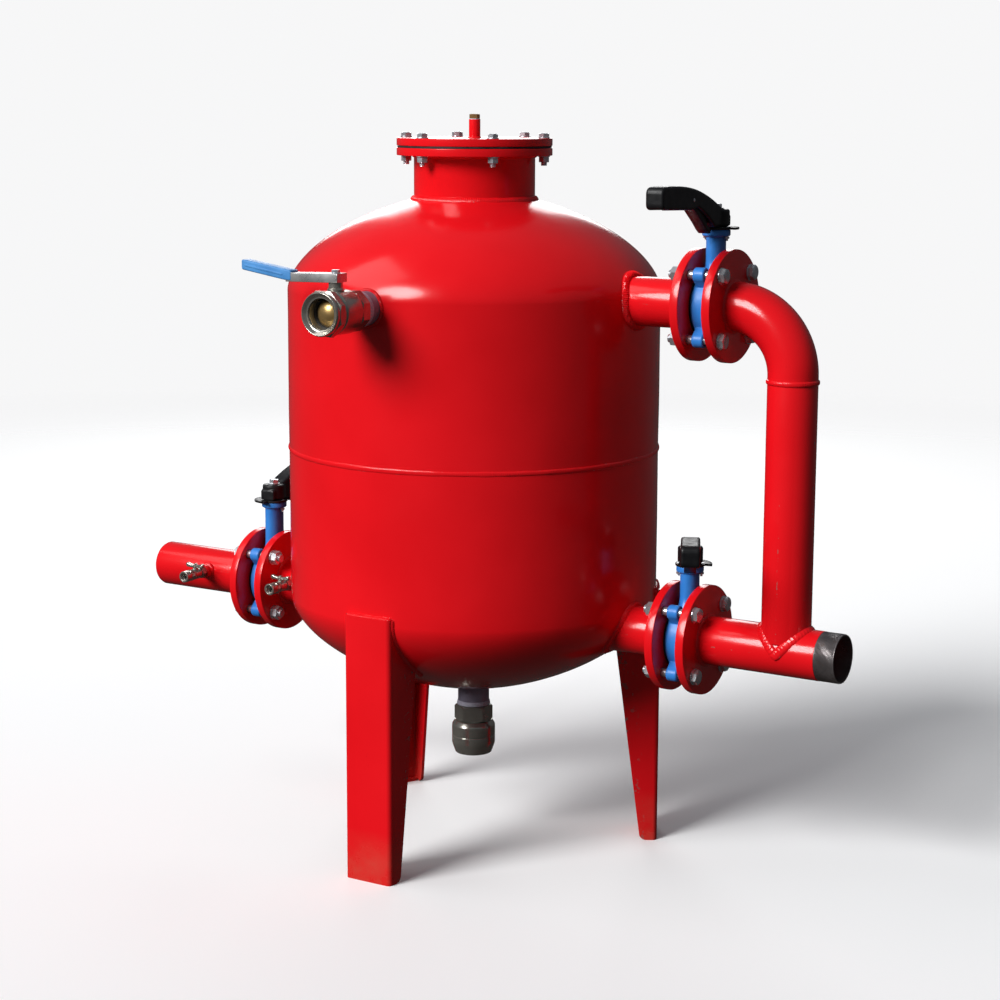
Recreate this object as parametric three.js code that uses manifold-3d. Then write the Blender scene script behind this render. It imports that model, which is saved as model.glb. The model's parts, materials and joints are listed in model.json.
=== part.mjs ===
// A vertical sand-media filter vessel on three legs, with its valves and pipework.
// Millimetres, +Z up. The vessel axis is x = 0, y = 0 inside the "tank" group, the floor is z = 0,
// +X points to the inlet pipework and -Y to the flush valve. The tank group is shifted so that
// the finished part is centred on its own footprint.
import * as THREE from 'three';
import { mergeVertices } from 'three/addons/utils/BufferGeometryUtils.js';
import Module from 'manifold-3d';

// ---- driving dimensions ----
const GAP = 0.3;                    // left between faces that are welded or touch
const SHELL_RADIUS = 350;
const SHELL_WALL = 6;
const SEAM_Z = 764.5;               // girth weld
const HEAD_HEIGHT = 184;            // dished head, from tangent line to crown
const HEAD_EXPONENT = 1.7;          // superellipse power of the head's curve
const TOP_TANGENT_Z = 1061;
const BOTTOM_TANGENT_Z = 482;

const PIPE_RADIUS = 44.45;          // 3 inch steel pipe
const PIPE_BORE = 41.25;
const THREAD_RADIUS = 43.9;
const THREAD_LENGTH = 38;
const SMALL_PIPE_RADIUS = 30.15;    // 2 inch steel pipe
const SMALL_PIPE_BORE = 26.4;

const FLANGE_RADIUS = 100;
const FLANGE_THICKNESS = 16;
const FLANGE_BOLT_CIRCLE = 80;
const VALVE_WIDTH = 46;             // wafer valve, face to face

const UPPER_AXIS_Z = 1055;
const LOWER_AXIS_Z = 449;
const FLUSH_AXIS_Z = 1050;
const UPPER_PACK_X = 464.8;         // vessel-side face of the flanged joint
const LOWER_PACK_X = 426;
const OUTLET_PACK_X = 442;
const RISER_X = 657.7;
const ELBOW_WELD_Z = 930;
const INLET_END_X = 767.5;
const OUTLET_END_X = 762.5;
const FLUSH_FACE = 490;             // front face of the flush valve, from the vessel axis

const LEG_RADIUS = 358;
const LEG_WIDTH = 100;
const LEG_PLATE = 6;
const LEG_TOP_Z = 496;
const LEG_ANGLES = { front_leg: -90, right_leg: 30, rear_leg: 150 };

const NECK_RADIUS = 113;
const NECK_BORE = 107;
const NECK_FOOT_Z = 1226;
const HATCH_RADIUS = 145;
const HATCH_PLATE = 14;
const HATCH_FLANGE_Z = 1309;
const HATCH_GASKET = 4;
const HATCH_BOLT_CIRCLE = 133;
const HATCH_BOLT_COUNT = 6;
const HATCH_BOLT_PHASE = 17;
const VENT_HEIGHT = 34;

// Facets round each circle, by its size.
const LARGE_ROUND = 32;
const FLANGE_ROUND = 20;
const PIPE_ROUND = 16;
const STEM_ROUND = 10;
const HOLE_ROUND = 6;

// ---- materials ----
function paint(colour, roughness, metalness) {
  return new THREE.MeshStandardMaterial({ color: colour, roughness, metalness });
}
const RED_PAINT = paint(0xd31c20, 0.3, 0.1);
const BLUE_PAINT = paint(0x2f78c8, 0.4, 0.1);
const BLACK_PAINT = paint(0x17181a, 0.5, 0.1);
const RUBBER = paint(0x1c1c1d, 0.85, 0);
const ZINC = paint(0xb9bdc1, 0.35, 0.9);
const NICKEL = paint(0xb4b0a6, 0.3, 0.95);
const BRASS = paint(0xb98f45, 0.35, 0.95);
const STAINLESS = paint(0xc3c6c9, 0.3, 0.95);

// ---- solid modelling helpers ----
const wasm = await Module();
wasm.setup();

const X = new THREE.Vector3(1, 0, 0);
const Y = new THREE.Vector3(0, 1, 0);
const Z = new THREE.Vector3(0, 0, 1);
const at = (x, y, z) => new THREE.Vector3(x, y, z);
const radians = THREE.MathUtils.degToRad;

// Turns a closed geometry into a solid, whichever way its faces were wound.
function solid(geometry) {
  geometry.deleteAttribute('normal');
  geometry.deleteAttribute('uv');
  const merged = mergeVertices(geometry, 1e-4);
  const corners = merged.index.array;
  const places = merged.attributes.position.array;
  const kept = [];
  let volume = 0;
  for (let i = 0; i < corners.length; i += 3) {
    const [a, b, c] = corners.slice(i, i + 3);
    if (a === b || b === c || c === a) continue;
    kept.push(a, b, c);
    const [p, q, r] = [a, b, c].map((k) => new THREE.Vector3().fromArray(places, 3 * k));
    volume += p.dot(q.cross(r));
  }
  if (volume < 0) kept.reverse();
  return new wasm.Manifold(new wasm.Mesh({
    numProp: 3,
    vertProperties: new Float32Array(places),
    triVerts: new Uint32Array(kept),
  }));
}

function joined(...solids) {
  return solids.reduce((all, next) => all.add(next));
}

function cut(body, ...tools) {
  return tools.reduce((rest, tool) => rest.subtract(tool), body);
}

// A round bar or cone between two points.
function rod(radius, start, end, segments = PIPE_ROUND, endRadius = radius) {
  const direction = end.clone().sub(start);
  const geometry = new THREE.CylinderGeometry(endRadius, radius, direction.length(), segments);
  const turn = new THREE.Quaternion().setFromUnitVectors(Y, direction.normalize());
  geometry.applyQuaternion(turn);
  geometry.translate(...start.clone().add(end).multiplyScalar(0.5).toArray());
  return solid(geometry);
}

const hexBar = (acrossFlats, start, end) => rod(acrossFlats / Math.sqrt(3), start, end, 6);

function tube(radius, bore, start, end, segments = PIPE_ROUND) {
  const step = end.clone().sub(start).normalize();
  const inside = rod(bore, start.clone().sub(step), end.clone().add(step), segments);
  return cut(rod(radius, start, end, segments), inside);
}

function block(low, high) {
  const size = high.clone().sub(low);
  const geometry = new THREE.BoxGeometry(size.x, size.y, size.z);
  geometry.translate(...low.clone().add(high).multiplyScalar(0.5).toArray());
  return solid(geometry);
}

// Spins a closed outline of (radius, height) pairs around the Z axis.
function turned(outline, segments = LARGE_ROUND) {
  const points = outline.map(([radius, height]) => new THREE.Vector2(radius, height));
  const geometry = new THREE.LatheGeometry(points, segments);
  geometry.rotateX(Math.PI / 2);
  return solid(geometry);
}

// Extrudes a shape drawn in X and Z, centred on y = 0.
function slab(shape, width, curveSegments = 3) {
  const geometry = new THREE.ExtrudeGeometry(shape, { depth: width, bevelEnabled: false, curveSegments });
  geometry.rotateX(Math.PI / 2);
  geometry.translate(0, width / 2, 0);
  return solid(geometry);
}

function outline(points) {
  return new THREE.Shape(points.map(([x, z]) => new THREE.Vector2(x, z)));
}

function mesh(name, body, material) {
  const data = body.getMesh();
  const indexed = new THREE.BufferGeometry();
  indexed.setAttribute('position', new THREE.BufferAttribute(data.vertProperties, 3));
  indexed.setIndex(new THREE.BufferAttribute(data.triVerts, 1));
  const geometry = indexed.toNonIndexed();
  geometry.computeVertexNormals();
  const piece = new THREE.Mesh(geometry, material);
  piece.name = name;
  return piece;
}

// ---- vessel ----
// Points of a dished head's curve, from the tangent line towards the crown.
function headCurve(radius, height, tangentZ, up, stopRadius = 0) {
  const steps = 7;
  const points = [];
  for (let i = 0; i <= steps; i += 1) {
    const r = i === steps ? stopRadius : radius * Math.cos((i / steps) * Math.PI / 2) ** 0.8;
    if (r < stopRadius) break;
    const share = 1 - (r / radius) ** HEAD_EXPONENT;
    points.push([r, tangentZ + up * height * share ** (1 / HEAD_EXPONENT)]);
  }
  return points;
}

function shellHalf(tangentZ, seamZ, up) {
  const outer = [[SHELL_RADIUS, seamZ], ...headCurve(SHELL_RADIUS, HEAD_HEIGHT, tangentZ, up)];
  const innerRadius = SHELL_RADIUS - SHELL_WALL;
  const innerHeight = HEAD_HEIGHT - SHELL_WALL;
  const inner = [[innerRadius, seamZ], ...headCurve(innerRadius, innerHeight, tangentZ, up)];
  return turned([...outer, ...inner.reverse(), outer[0]]);
}

// The vessel's whole outside, grown by the weld gap, for fitting legs to it.
function vesselEnvelope() {
  const radius = SHELL_RADIUS + GAP;
  const height = HEAD_HEIGHT + GAP;
  const top = headCurve(radius, height, TOP_TANGENT_Z, 1);
  const bottom = headCurve(radius, height, BOTTOM_TANGENT_Z, -1).reverse();
  return turned([...bottom, ...top]);
}

const UPPER_NOZZLE_START = 300;
const LOWER_NOZZLE_START = 290;

function upperShell() {
  const neckHole = rod(NECK_RADIUS + GAP, at(0, 0, SEAM_Z + 200), at(0, 0, 1400), FLANGE_ROUND);
  const nozzleHole = rod(PIPE_RADIUS + GAP, at(100, 0, UPPER_AXIS_Z), at(400, 0, UPPER_AXIS_Z));
  const flushHole = rod(SMALL_PIPE_RADIUS + GAP, at(0, -200, FLUSH_AXIS_Z), at(0, -400, FLUSH_AXIS_Z));
  return cut(shellHalf(TOP_TANGENT_Z, SEAM_Z + GAP / 2, 1), neckHole, nozzleHole, flushHole);
}

const DRAIN_NIPPLE_Z = 256;

function lowerShell() {
  const crownZ = BOTTOM_TANGENT_Z - HEAD_HEIGHT;
  const nozzleHoles = [1, -1].map((side) => rod(
    PIPE_RADIUS + GAP, at(side * 100, 0, LOWER_AXIS_Z), at(side * 400, 0, LOWER_AXIS_Z)));
  const nipple = rod(SMALL_PIPE_RADIUS, at(0, 0, DRAIN_NIPPLE_Z), at(0, 0, crownZ + 4));
  const drainHole = rod(SMALL_PIPE_BORE, at(0, 0, DRAIN_NIPPLE_Z - 10), at(0, 0, crownZ + 30));
  const half = joined(shellHalf(BOTTOM_TANGENT_Z, SEAM_Z - GAP / 2, -1), nipple);
  return cut(half, drainHole, ...nozzleHoles);
}

const DRAIN_FOOT_Z = 160;

// Hexagon-topped screwed outlet coupling hanging from the drain nipple.
function drainCoupling() {
  const top = DRAIN_NIPPLE_Z - GAP;
  const body = turned([[0, DRAIN_FOOT_Z], [35, DRAIN_FOOT_Z], [41.5, 180], [41.5, 216], [38, 222],
    [36, 226], [0, 226]], PIPE_ROUND);
  const hexagon = hexBar(70, at(0, 0, 224), at(0, 0, top));
  const bore = rod(SMALL_PIPE_BORE, at(0, 0, DRAIN_FOOT_Z - 5), at(0, 0, top + 5));
  return cut(joined(body, hexagon), bore);
}

const LEG_FOOT_DEPTH = 33;          // side web depth at the floor
const LEG_UPPER_DEPTH = 86;         // and near the head
const LEG_UPPER_Z = 400;

const LEG_TOE_CUT = 11;             // trimmed corner of each web at the floor

// A folded channel leg, drawn with its outer plate facing +X.
function leg() {
  const reach = (z) => LEG_FOOT_DEPTH + (LEG_UPPER_DEPTH - LEG_FOOT_DEPTH) * z / LEG_UPPER_Z;
  const side = outline([
    [LEG_RADIUS - reach(0) + LEG_TOE_CUT, 0],
    [LEG_RADIUS, 0],
    [LEG_RADIUS, LEG_TOP_Z],
    [LEG_RADIUS - reach(LEG_TOP_Z), LEG_TOP_Z],
    [LEG_RADIUS - reach(LEG_TOE_CUT), LEG_TOE_CUT],
  ]);
  const inner = outline([[200, LEG_PLATE], [LEG_RADIUS - LEG_PLATE, LEG_PLATE],
    [LEG_RADIUS - LEG_PLATE, LEG_TOP_Z + 10], [200, LEG_TOP_Z + 10]]);
  return cut(slab(side, LEG_WIDTH), slab(inner, LEG_WIDTH - 2 * LEG_PLATE));
}

// The vessel is faceted, so each leg is turned to its place first and then fitted to it.
function legs() {
  return Object.entries(LEG_ANGLES).map(([name, angle]) => {
    const placed = leg().rotate([0, 0, angle]);
    return mesh(name, cut(placed, vesselEnvelope()), RED_PAINT);
  });
}

// ---- hatch ----
function onCircle(radius, count, phase, make) {
  return Array.from({ length: count }, (_, i) => {
    const angle = radians(phase + (360 / count) * i);
    return make(radius * Math.cos(angle), radius * Math.sin(angle), i);
  });
}

const LID_FOOT_Z = HATCH_FLANGE_Z + HATCH_PLATE + HATCH_GASKET;
const LID_TOP_Z = LID_FOOT_Z + HATCH_PLATE;

function hatchHoles() {
  return onCircle(HATCH_BOLT_CIRCLE, HATCH_BOLT_COUNT, HATCH_BOLT_PHASE, (x, y) => (
    rod(6.75, at(x, y, HATCH_FLANGE_Z - 5), at(x, y, LID_TOP_Z + 5), HOLE_ROUND)));
}

function hatchNeck() {
  const top = HATCH_FLANGE_Z + HATCH_PLATE;
  const neck = turned([[NECK_BORE, NECK_FOOT_Z], [NECK_RADIUS, NECK_FOOT_Z],
    [NECK_RADIUS, HATCH_FLANGE_Z], [HATCH_RADIUS, HATCH_FLANGE_Z], [HATCH_RADIUS, top],
    [NECK_BORE, top], [NECK_BORE, NECK_FOOT_Z]], FLANGE_ROUND);
  return cut(neck, ...hatchHoles());
}

function hatchGasket() {
  const foot = HATCH_FLANGE_Z + HATCH_PLATE + GAP;
  const ring = tube(HATCH_RADIUS - 2, NECK_BORE, at(0, 0, foot), at(0, 0, LID_FOOT_Z - GAP), FLANGE_ROUND);
  return cut(ring, ...hatchHoles());
}

const VENT_RADIUS = 10.65;
const VENT_BORE = 8;

function hatchLid() {
  const disc = rod(HATCH_RADIUS, at(0, 0, LID_FOOT_Z), at(0, 0, LID_TOP_Z), FLANGE_ROUND);
  const vent = rod(VENT_RADIUS, at(0, 0, LID_TOP_Z - 2), at(0, 0, LID_TOP_Z + VENT_HEIGHT), STEM_ROUND);
  const bore = rod(VENT_BORE, at(0, 0, LID_FOOT_Z - 5), at(0, 0, LID_TOP_Z + VENT_HEIGHT + 5), STEM_ROUND);
  return cut(joined(disc, vent), bore, ...hatchHoles());
}

function ventPlug() {
  const seat = LID_TOP_Z + VENT_HEIGHT + GAP;
  const shank = rod(VENT_BORE - 0.5, at(0, 0, seat - 16), at(0, 0, seat + 2), STEM_ROUND);
  return joined(shank, hexBar(17, at(0, 0, seat), at(0, 0, seat + 9.7)));
}

// A hexagon bolt with its nut, standing on the origin with the clamped pack from 0 down to -grip.
function boltAndNut(size, grip, start, axis) {
  const along = (distance) => start.clone().addScaledVector(axis, distance);
  const head = hexBar(size.flats, along(GAP), along(GAP + size.head));
  const shank = rod(size.radius, along(GAP + 1), along(-grip - size.tail), HOLE_ROUND);
  const nut = hexBar(size.flats, along(-grip - GAP), along(-grip - GAP - size.nut));
  return joined(head, shank, nut);
}

const M12 = { radius: 6, flats: 18, head: 7.5, nut: 10, tail: 18 };
const M16 = { radius: 8, flats: 24, head: 10, nut: 13, tail: 21 };

function hatchBolts() {
  const grip = LID_TOP_Z - HATCH_FLANGE_Z;
  return onCircle(HATCH_BOLT_CIRCLE, HATCH_BOLT_COUNT, HATCH_BOLT_PHASE, (x, y, i) => (
    mesh(`hatch_bolt_${i + 1}`, boltAndNut(M12, grip, at(x, y, LID_TOP_Z), Z), ZINC)));
}

// ---- flanged pipework ----
// Four bolt places on a flange, at 45 degrees to the vertical.
function flangeBoltPlaces() {
  return onCircle(FLANGE_BOLT_CIRCLE, 4, 45, (y, z) => [y, z]);
}

// The holes for one flanged joint, from x = start to x = end.
function flangeHoles(start, end, axisZ) {
  return flangeBoltPlaces().map(([y, z]) => (
    rod(9.2, at(start - 5, y, axisZ + z), at(end + 5, y, axisZ + z), HOLE_ROUND)));
}

function flangedPipe(pipeEnds, flangeStart, axisZ) {
  const [first, last] = pipeEnds;
  const flangeEnd = flangeStart + FLANGE_THICKNESS;
  const pipe = rod(PIPE_RADIUS, at(first, 0, axisZ), at(last, 0, axisZ));
  const flange = rod(FLANGE_RADIUS, at(flangeStart, 0, axisZ), at(flangeEnd, 0, axisZ), FLANGE_ROUND);
  const bore = rod(PIPE_BORE, at(first - 5, 0, axisZ), at(last + 5, 0, axisZ));
  return cut(joined(pipe, flange), bore, ...flangeHoles(flangeStart, flangeEnd, axisZ));
}

const COCK_BOSS_RADIUS = 13.5;
const COCK_BOSS_BORE = 8.6;
const COCK_BOSS_LENGTH = 14;        // from the pipe's surface
const COCK_AXIS_Z = LOWER_AXIS_Z + 6;
const TAPPING_RADIUS = 1.7;         // small pressure hole through the pipe wall
const STUB_COCK_X = -404;
const OUTLET_COCK_X = -622;

// Adds the welded boss for a gauge cock on the front of a pipe.
function withCockBoss(pipe, x) {
  const outer = -(PIPE_RADIUS + COCK_BOSS_LENGTH);
  const along = (y) => at(x, y, COCK_AXIS_Z);
  const boss = rod(COCK_BOSS_RADIUS, along(outer), along(-PIPE_BORE - 1.5), STEM_ROUND);
  const bore = rod(COCK_BOSS_BORE, along(outer - 5), along(-PIPE_BORE - 1.8), STEM_ROUND);
  const tapping = rod(TAPPING_RADIUS, along(outer - 5), along(-20), HOLE_ROUND);
  return cut(joined(pipe, boss), bore, tapping);
}

function outletNozzle() {
  const flangeStart = -OUTLET_PACK_X - FLANGE_THICKNESS;
  const pipe = flangedPipe([flangeStart, -LOWER_NOZZLE_START], flangeStart, LOWER_AXIS_Z);
  return withCockBoss(pipe, STUB_COCK_X);
}

function outletPipe() {
  const flangeStart = -OUTLET_PACK_X - 2 * FLANGE_THICKNESS - VALVE_WIDTH;
  const pipe = flangedPipe([-OUTLET_END_X, flangeStart + FLANGE_THICKNESS], flangeStart, LOWER_AXIS_Z);
  return withCockBoss(pipe, OUTLET_COCK_X);
}

// Right-hand nozzles end in the vessel-side flange.
function nozzle(startX, packX, axisZ) {
  return flangedPipe([startX, packX + FLANGE_THICKNESS], packX, axisZ);
}

const outerFlangeX = (packX) => packX + FLANGE_THICKNESS + VALVE_WIDTH;
const BEND_RADIUS = RISER_X - outerFlangeX(UPPER_PACK_X) - FLANGE_THICKNESS;

// A quarter bend of the given pipe radius, between the flange and the riser.
function quarterBend(radius) {
  const geometry = new THREE.TorusGeometry(BEND_RADIUS, radius, PIPE_ROUND, LARGE_ROUND);
  geometry.rotateX(Math.PI / 2);
  const bendX = RISER_X - BEND_RADIUS;
  const bendZ = UPPER_AXIS_Z - BEND_RADIUS;
  geometry.translate(bendX, 0, bendZ);
  const quarter = block(at(bendX, -100, bendZ), at(bendX + 300, 100, bendZ + 300));
  return solid(geometry).intersect(quarter);
}

// The bend with short straight ends, solid: once for the outside and once for the bore.
function elbowRun(radius, extra) {
  const startX = outerFlangeX(UPPER_PACK_X);
  const bendZ = UPPER_AXIS_Z - BEND_RADIUS;
  const flangeEnd = startX + FLANGE_THICKNESS;
  const straightIn = rod(radius, at(startX - extra, 0, UPPER_AXIS_Z), at(flangeEnd + 1, 0, UPPER_AXIS_Z));
  const straightOut = rod(radius, at(RISER_X, 0, bendZ + 1), at(RISER_X, 0, ELBOW_WELD_Z - extra));
  return joined(quarterBend(radius), straightIn, straightOut);
}

function filterElbow() {
  const startX = outerFlangeX(UPPER_PACK_X);
  const flangeEnd = startX + FLANGE_THICKNESS;
  const face = at(startX, 0, UPPER_AXIS_Z);
  const flange = rod(FLANGE_RADIUS, face, at(flangeEnd, 0, UPPER_AXIS_Z), FLANGE_ROUND);
  const holes = flangeHoles(startX, flangeEnd, UPPER_AXIS_Z);
  return cut(joined(elbowRun(PIPE_RADIUS, 0), flange), elbowRun(PIPE_BORE, 5), ...holes);
}

// The riser's foot is fish-mouthed to sit on the inlet pipe.
function riserPipe() {
  const top = at(RISER_X, 0, ELBOW_WELD_Z - GAP);
  const riser = tube(PIPE_RADIUS, PIPE_BORE, at(RISER_X, 0, LOWER_AXIS_Z), top);
  const saddle = rod(
    PIPE_RADIUS + GAP, at(RISER_X - 80, 0, LOWER_AXIS_Z), at(RISER_X + 80, 0, LOWER_AXIS_Z));
  return cut(riser, saddle);
}

function inletPipe() {
  const flangeStart = outerFlangeX(LOWER_PACK_X);
  const plainEnd = INLET_END_X - THREAD_LENGTH;
  const pipe = flangedPipe([flangeStart, plainEnd], flangeStart, LOWER_AXIS_Z);
  const tip = at(INLET_END_X, 0, LOWER_AXIS_Z);
  const thread = tube(THREAD_RADIUS, PIPE_BORE, at(plainEnd - 1, 0, LOWER_AXIS_Z), tip);
  const riserHole = rod(PIPE_BORE, at(RISER_X, 0, LOWER_AXIS_Z), at(RISER_X, 0, LOWER_AXIS_Z + 80));
  return cut(joined(pipe, thread), riserHole);
}

// Bolts of one flanged joint; the heads are on the side that faces away from the vessel.
function flangeBolts(prefix, packX, axisZ, side) {
  const grip = 2 * FLANGE_THICKNESS + VALVE_WIDTH;
  const axis = X.clone().multiplyScalar(side);
  return flangeBoltPlaces().map(([y, z], i) => {
    const start = at(side * (packX + grip), y, axisZ + z);
    return mesh(`${prefix}_flange_bolt_${i + 1}`, boltAndNut(M16, grip, start, axis), ZINC);
  });
}

// ---- wafer butterfly valve, drawn about its own centre with the flow along X ----
const RING_RADIUS = 64;
const RING_SHOULDER = 58;           // beyond this radius the ring is narrower than its faces
const RING_RIM_HALF = 15;
const EAR_RADIUS = 14;              // ears that the flange bolts pass through
const EAR_HALF = 11;
const RING_BORE = 47.3;
const SEAT_RADIUS = 47;
const SEAT_BORE = 39.6;
const SEAT_LIP_RADIUS = 57;
const SEAT_LIP = 1.2;
const DISC_RADIUS = 38.4;
const DISC_THICKNESS = 8;
const STEM_RADIUS = 6.3;
const STEM_HOLE = 7;
const STEM_FOOT = -50;
const NECK_TUBE_RADIUS = 18;
const TOP_PAD_RADIUS = 25;
const TOP_PAD_HEIGHT = 12;
const NOTCH_PLATE = 4;
const NOTCH_PLATE_RADIUS = 27;
const NOTCH_SECTOR_RADIUS = 40;     // the part that the lever's pawl runs over
const NOTCH_SECTOR_MARGIN = 10;     // degrees past each end of the lever's travel
const LEVER_HUB_RADIUS = 23;
const LEVER_HUB_HEIGHT = 30;
const LEVER_WIDTH = 34;
const TRIGGER_WIDTH = 22;
const TRIGGER_PIVOT = [120, 50];

// A disc with a wider sector over the lever's travel, from one angle to the other.
function notchPlate(foot, fromAngle, toAngle) {
  const first = fromAngle - NOTCH_SECTOR_MARGIN;
  const span = toAngle - fromAngle + 2 * NOTCH_SECTOR_MARGIN;
  const steps = 24;
  const edge = Array.from({ length: steps }, (_, i) => {
    const turn = 360 * i / steps;
    const radius = turn <= span ? NOTCH_SECTOR_RADIUS : NOTCH_PLATE_RADIUS;
    const angle = radians(first + turn);
    return [radius * Math.cos(angle), radius * Math.sin(angle)];
  });
  const sheet = { depth: NOTCH_PLATE + 1, bevelEnabled: false };
  return solid(new THREE.ExtrudeGeometry(outline(edge), sheet).translate(0, 0, foot - 1));
}

function valveBody(neckTop, travel) {
  const half = VALVE_WIDTH / 2 - SEAT_LIP - 2 * GAP;
  const ring = rod(RING_SHOULDER, at(-half, 0, 0), at(half, 0, 0), FLANGE_ROUND);
  const rim = rod(RING_RADIUS, at(-RING_RIM_HALF, 0, 0), at(RING_RIM_HALF, 0, 0), FLANGE_ROUND);
  const ears = flangeBoltPlaces().flatMap(([y, z]) => [0.84, 1].map((share) => (
    rod(EAR_RADIUS, at(-EAR_HALF, y * share, z * share), at(EAR_HALF, y * share, z * share), STEM_ROUND))));
  const neck = rod(NECK_TUBE_RADIUS + 4, at(0, 0, 55), at(0, 0, neckTop), STEM_ROUND, NECK_TUBE_RADIUS);
  const plateFoot = neckTop + TOP_PAD_HEIGHT;
  const pad = rod(TOP_PAD_RADIUS, at(0, 0, neckTop), at(0, 0, plateFoot));
  const bore = rod(RING_BORE, at(-half - 5, 0, 0), at(half + 5, 0, 0), FLANGE_ROUND);
  const stemTop = at(0, 0, plateFoot + NOTCH_PLATE + 5);
  const stemHole = rod(STEM_HOLE, at(0, 0, STEM_FOOT - 4), stemTop, STEM_ROUND);
  const boltHoles = flangeHoles(-half, half, 0);
  const casting = joined(ring, rim, ...ears, neck, pad, notchPlate(plateFoot, ...travel));
  return cut(casting, bore, stemHole, ...boltHoles);
}

// The rubber seat lines the ring and turns out over both of its faces.
function valveSeat() {
  const half = VALVE_WIDTH / 2 - GAP;
  const inner = half - SEAT_LIP;
  const section = [
    [SEAT_BORE, -half],
    [SEAT_LIP_RADIUS, -half],
    [SEAT_LIP_RADIUS, -inner],
    [SEAT_RADIUS, -inner],
    [SEAT_RADIUS, inner],
    [SEAT_LIP_RADIUS, inner],
    [SEAT_LIP_RADIUS, half],
    [SEAT_BORE, half],
    [SEAT_BORE, -half],
  ];
  const points = section.map(([radius, x]) => new THREE.Vector2(radius, x));
  const geometry = new THREE.LatheGeometry(points, FLANGE_ROUND);
  geometry.rotateZ(-Math.PI / 2);
  const stemHole = rod(STEM_HOLE, at(0, 0, -60), at(0, 0, 60), STEM_ROUND);
  return cut(solid(geometry), stemHole);
}

function valveDisc(stemTop) {
  const disc = rod(DISC_RADIUS, at(-DISC_THICKNESS / 2, 0, 0), at(DISC_THICKNESS / 2, 0, 0), FLANGE_ROUND);
  const hub = rod(9, at(0, 0, -DISC_RADIUS + 6), at(0, 0, DISC_RADIUS - 6), STEM_ROUND);
  return joined(disc, hub, rod(STEM_RADIUS, at(0, 0, STEM_FOOT), at(0, 0, stemTop), STEM_ROUND));
}

// Lever outline: x runs out along the lever, z up from the notch plate.
function leverShape() {
  const shape = new THREE.Shape();
  shape.moveTo(-24, 0);
  shape.lineTo(38, 0);
  shape.quadraticCurveTo(70, 26, 104, 37);
  shape.quadraticCurveTo(118, 32, 134, 33);
  shape.lineTo(226, 36);
  shape.quadraticCurveTo(234, 38, 234, 46);
  shape.lineTo(234, 64);
  shape.quadraticCurveTo(233, 74, 222, 75);
  shape.quadraticCurveTo(150, 77, 104, 67);
  shape.quadraticCurveTo(60, 57, 16, 36);
  shape.quadraticCurveTo(-20, 24, -24, 18);
  return shape;
}

function valveLever() {
  const channel = outline([
    [46, -5],
    [50, 10],
    [62, 28],
    [100, 56],
    [124, 63],
    [230, 65],
    [230, 20],
    [120, 20],
    [70, -5],
  ]);
  const [pivotX, pivotZ] = TRIGGER_PIVOT;
  const pinEnd = LEVER_WIDTH / 2 - 2;
  const pin = rod(3, at(pivotX, -pinEnd, pivotZ), at(pivotX, pinEnd, pivotZ), HOLE_ROUND);
  const stemHole = rod(STEM_HOLE, at(0, 0, -5), at(0, 0, 60), STEM_ROUND);
  const hub = rod(LEVER_HUB_RADIUS, at(0, 0, 0), at(0, 0, LEVER_HUB_HEIGHT));
  const bar = joined(slab(leverShape(), LEVER_WIDTH), hub);
  return joined(cut(bar, slab(channel, LEVER_WIDTH - 10), stemHole), pin);
}

// Squeeze bar inside the grip, with the pawl finger that reaches down to the notch plate.
function valveTrigger() {
  const shape = outline([
    [226, 38],
    [226, 48],
    [132, 49],
    [124, 57],
    [114, 55],
    [100, 46],
    [64, 18],
    [56, 4],
    [43, -2],
    [43, -9],
    [48, -11],
    [58, -5],
    [76, 10],
    [108, 33],
    [134, 36],
  ]);
  const [pivotX, pivotZ] = TRIGGER_PIVOT;
  const pinHole = rod(3.8, at(pivotX, -30, pivotZ), at(pivotX, 30, pivotZ), HOLE_ROUND);
  return cut(slab(shape, TRIGGER_WIDTH), pinHole);
}

// Angles are measured from +X; the disc is shut when the lever stands square to the pipe.
function butterflyValve(name, centreX, axisZ, neckTop, leverAngle, travel) {
  const group = new THREE.Group();
  group.position.set(centreX, 0, axisZ);
  group.add(mesh(`${name}_body`, valveBody(neckTop, travel), BLUE_PAINT));
  group.add(mesh(`${name}_seat`, valveSeat(), RUBBER));
  const turning = new THREE.Group();
  turning.rotation.z = radians(leverAngle);
  group.add(turning);
  const leverFoot = neckTop + TOP_PAD_HEIGHT + NOTCH_PLATE + 1;
  const disc = mesh(`${name}_disc`, valveDisc(leverFoot + 29), STAINLESS);
  disc.rotation.z = Math.PI / 2;
  const lever = mesh(`${name}_lever`, valveLever(), BLACK_PAINT);
  const trigger = mesh(`${name}_trigger`, valveTrigger(), BLACK_PAINT);
  lever.position.z = leverFoot;
  trigger.position.z = leverFoot;
  turning.add(disc, lever, trigger);
  return group;
}

const SHORT_NECK = 122;
const LONG_NECK = 147;
const VALVES = [
  {
    name: 'filter_valve',
    pack: UPPER_PACK_X,
    side: 1,
    axisZ: UPPER_AXIS_Z,
    neck: SHORT_NECK,
    lever: -90,
    travel: [-90, 0],
  },
  {
    name: 'backwash_valve',
    pack: LOWER_PACK_X,
    side: 1,
    axisZ: LOWER_AXIS_Z,
    neck: SHORT_NECK,
    lever: -63,
    travel: [-90, -22],
  },
  {
    name: 'outlet_valve',
    pack: OUTLET_PACK_X,
    side: -1,
    axisZ: LOWER_AXIS_Z,
    neck: LONG_NECK,
    lever: 90,
    travel: [90, 180],
  },
];

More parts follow.
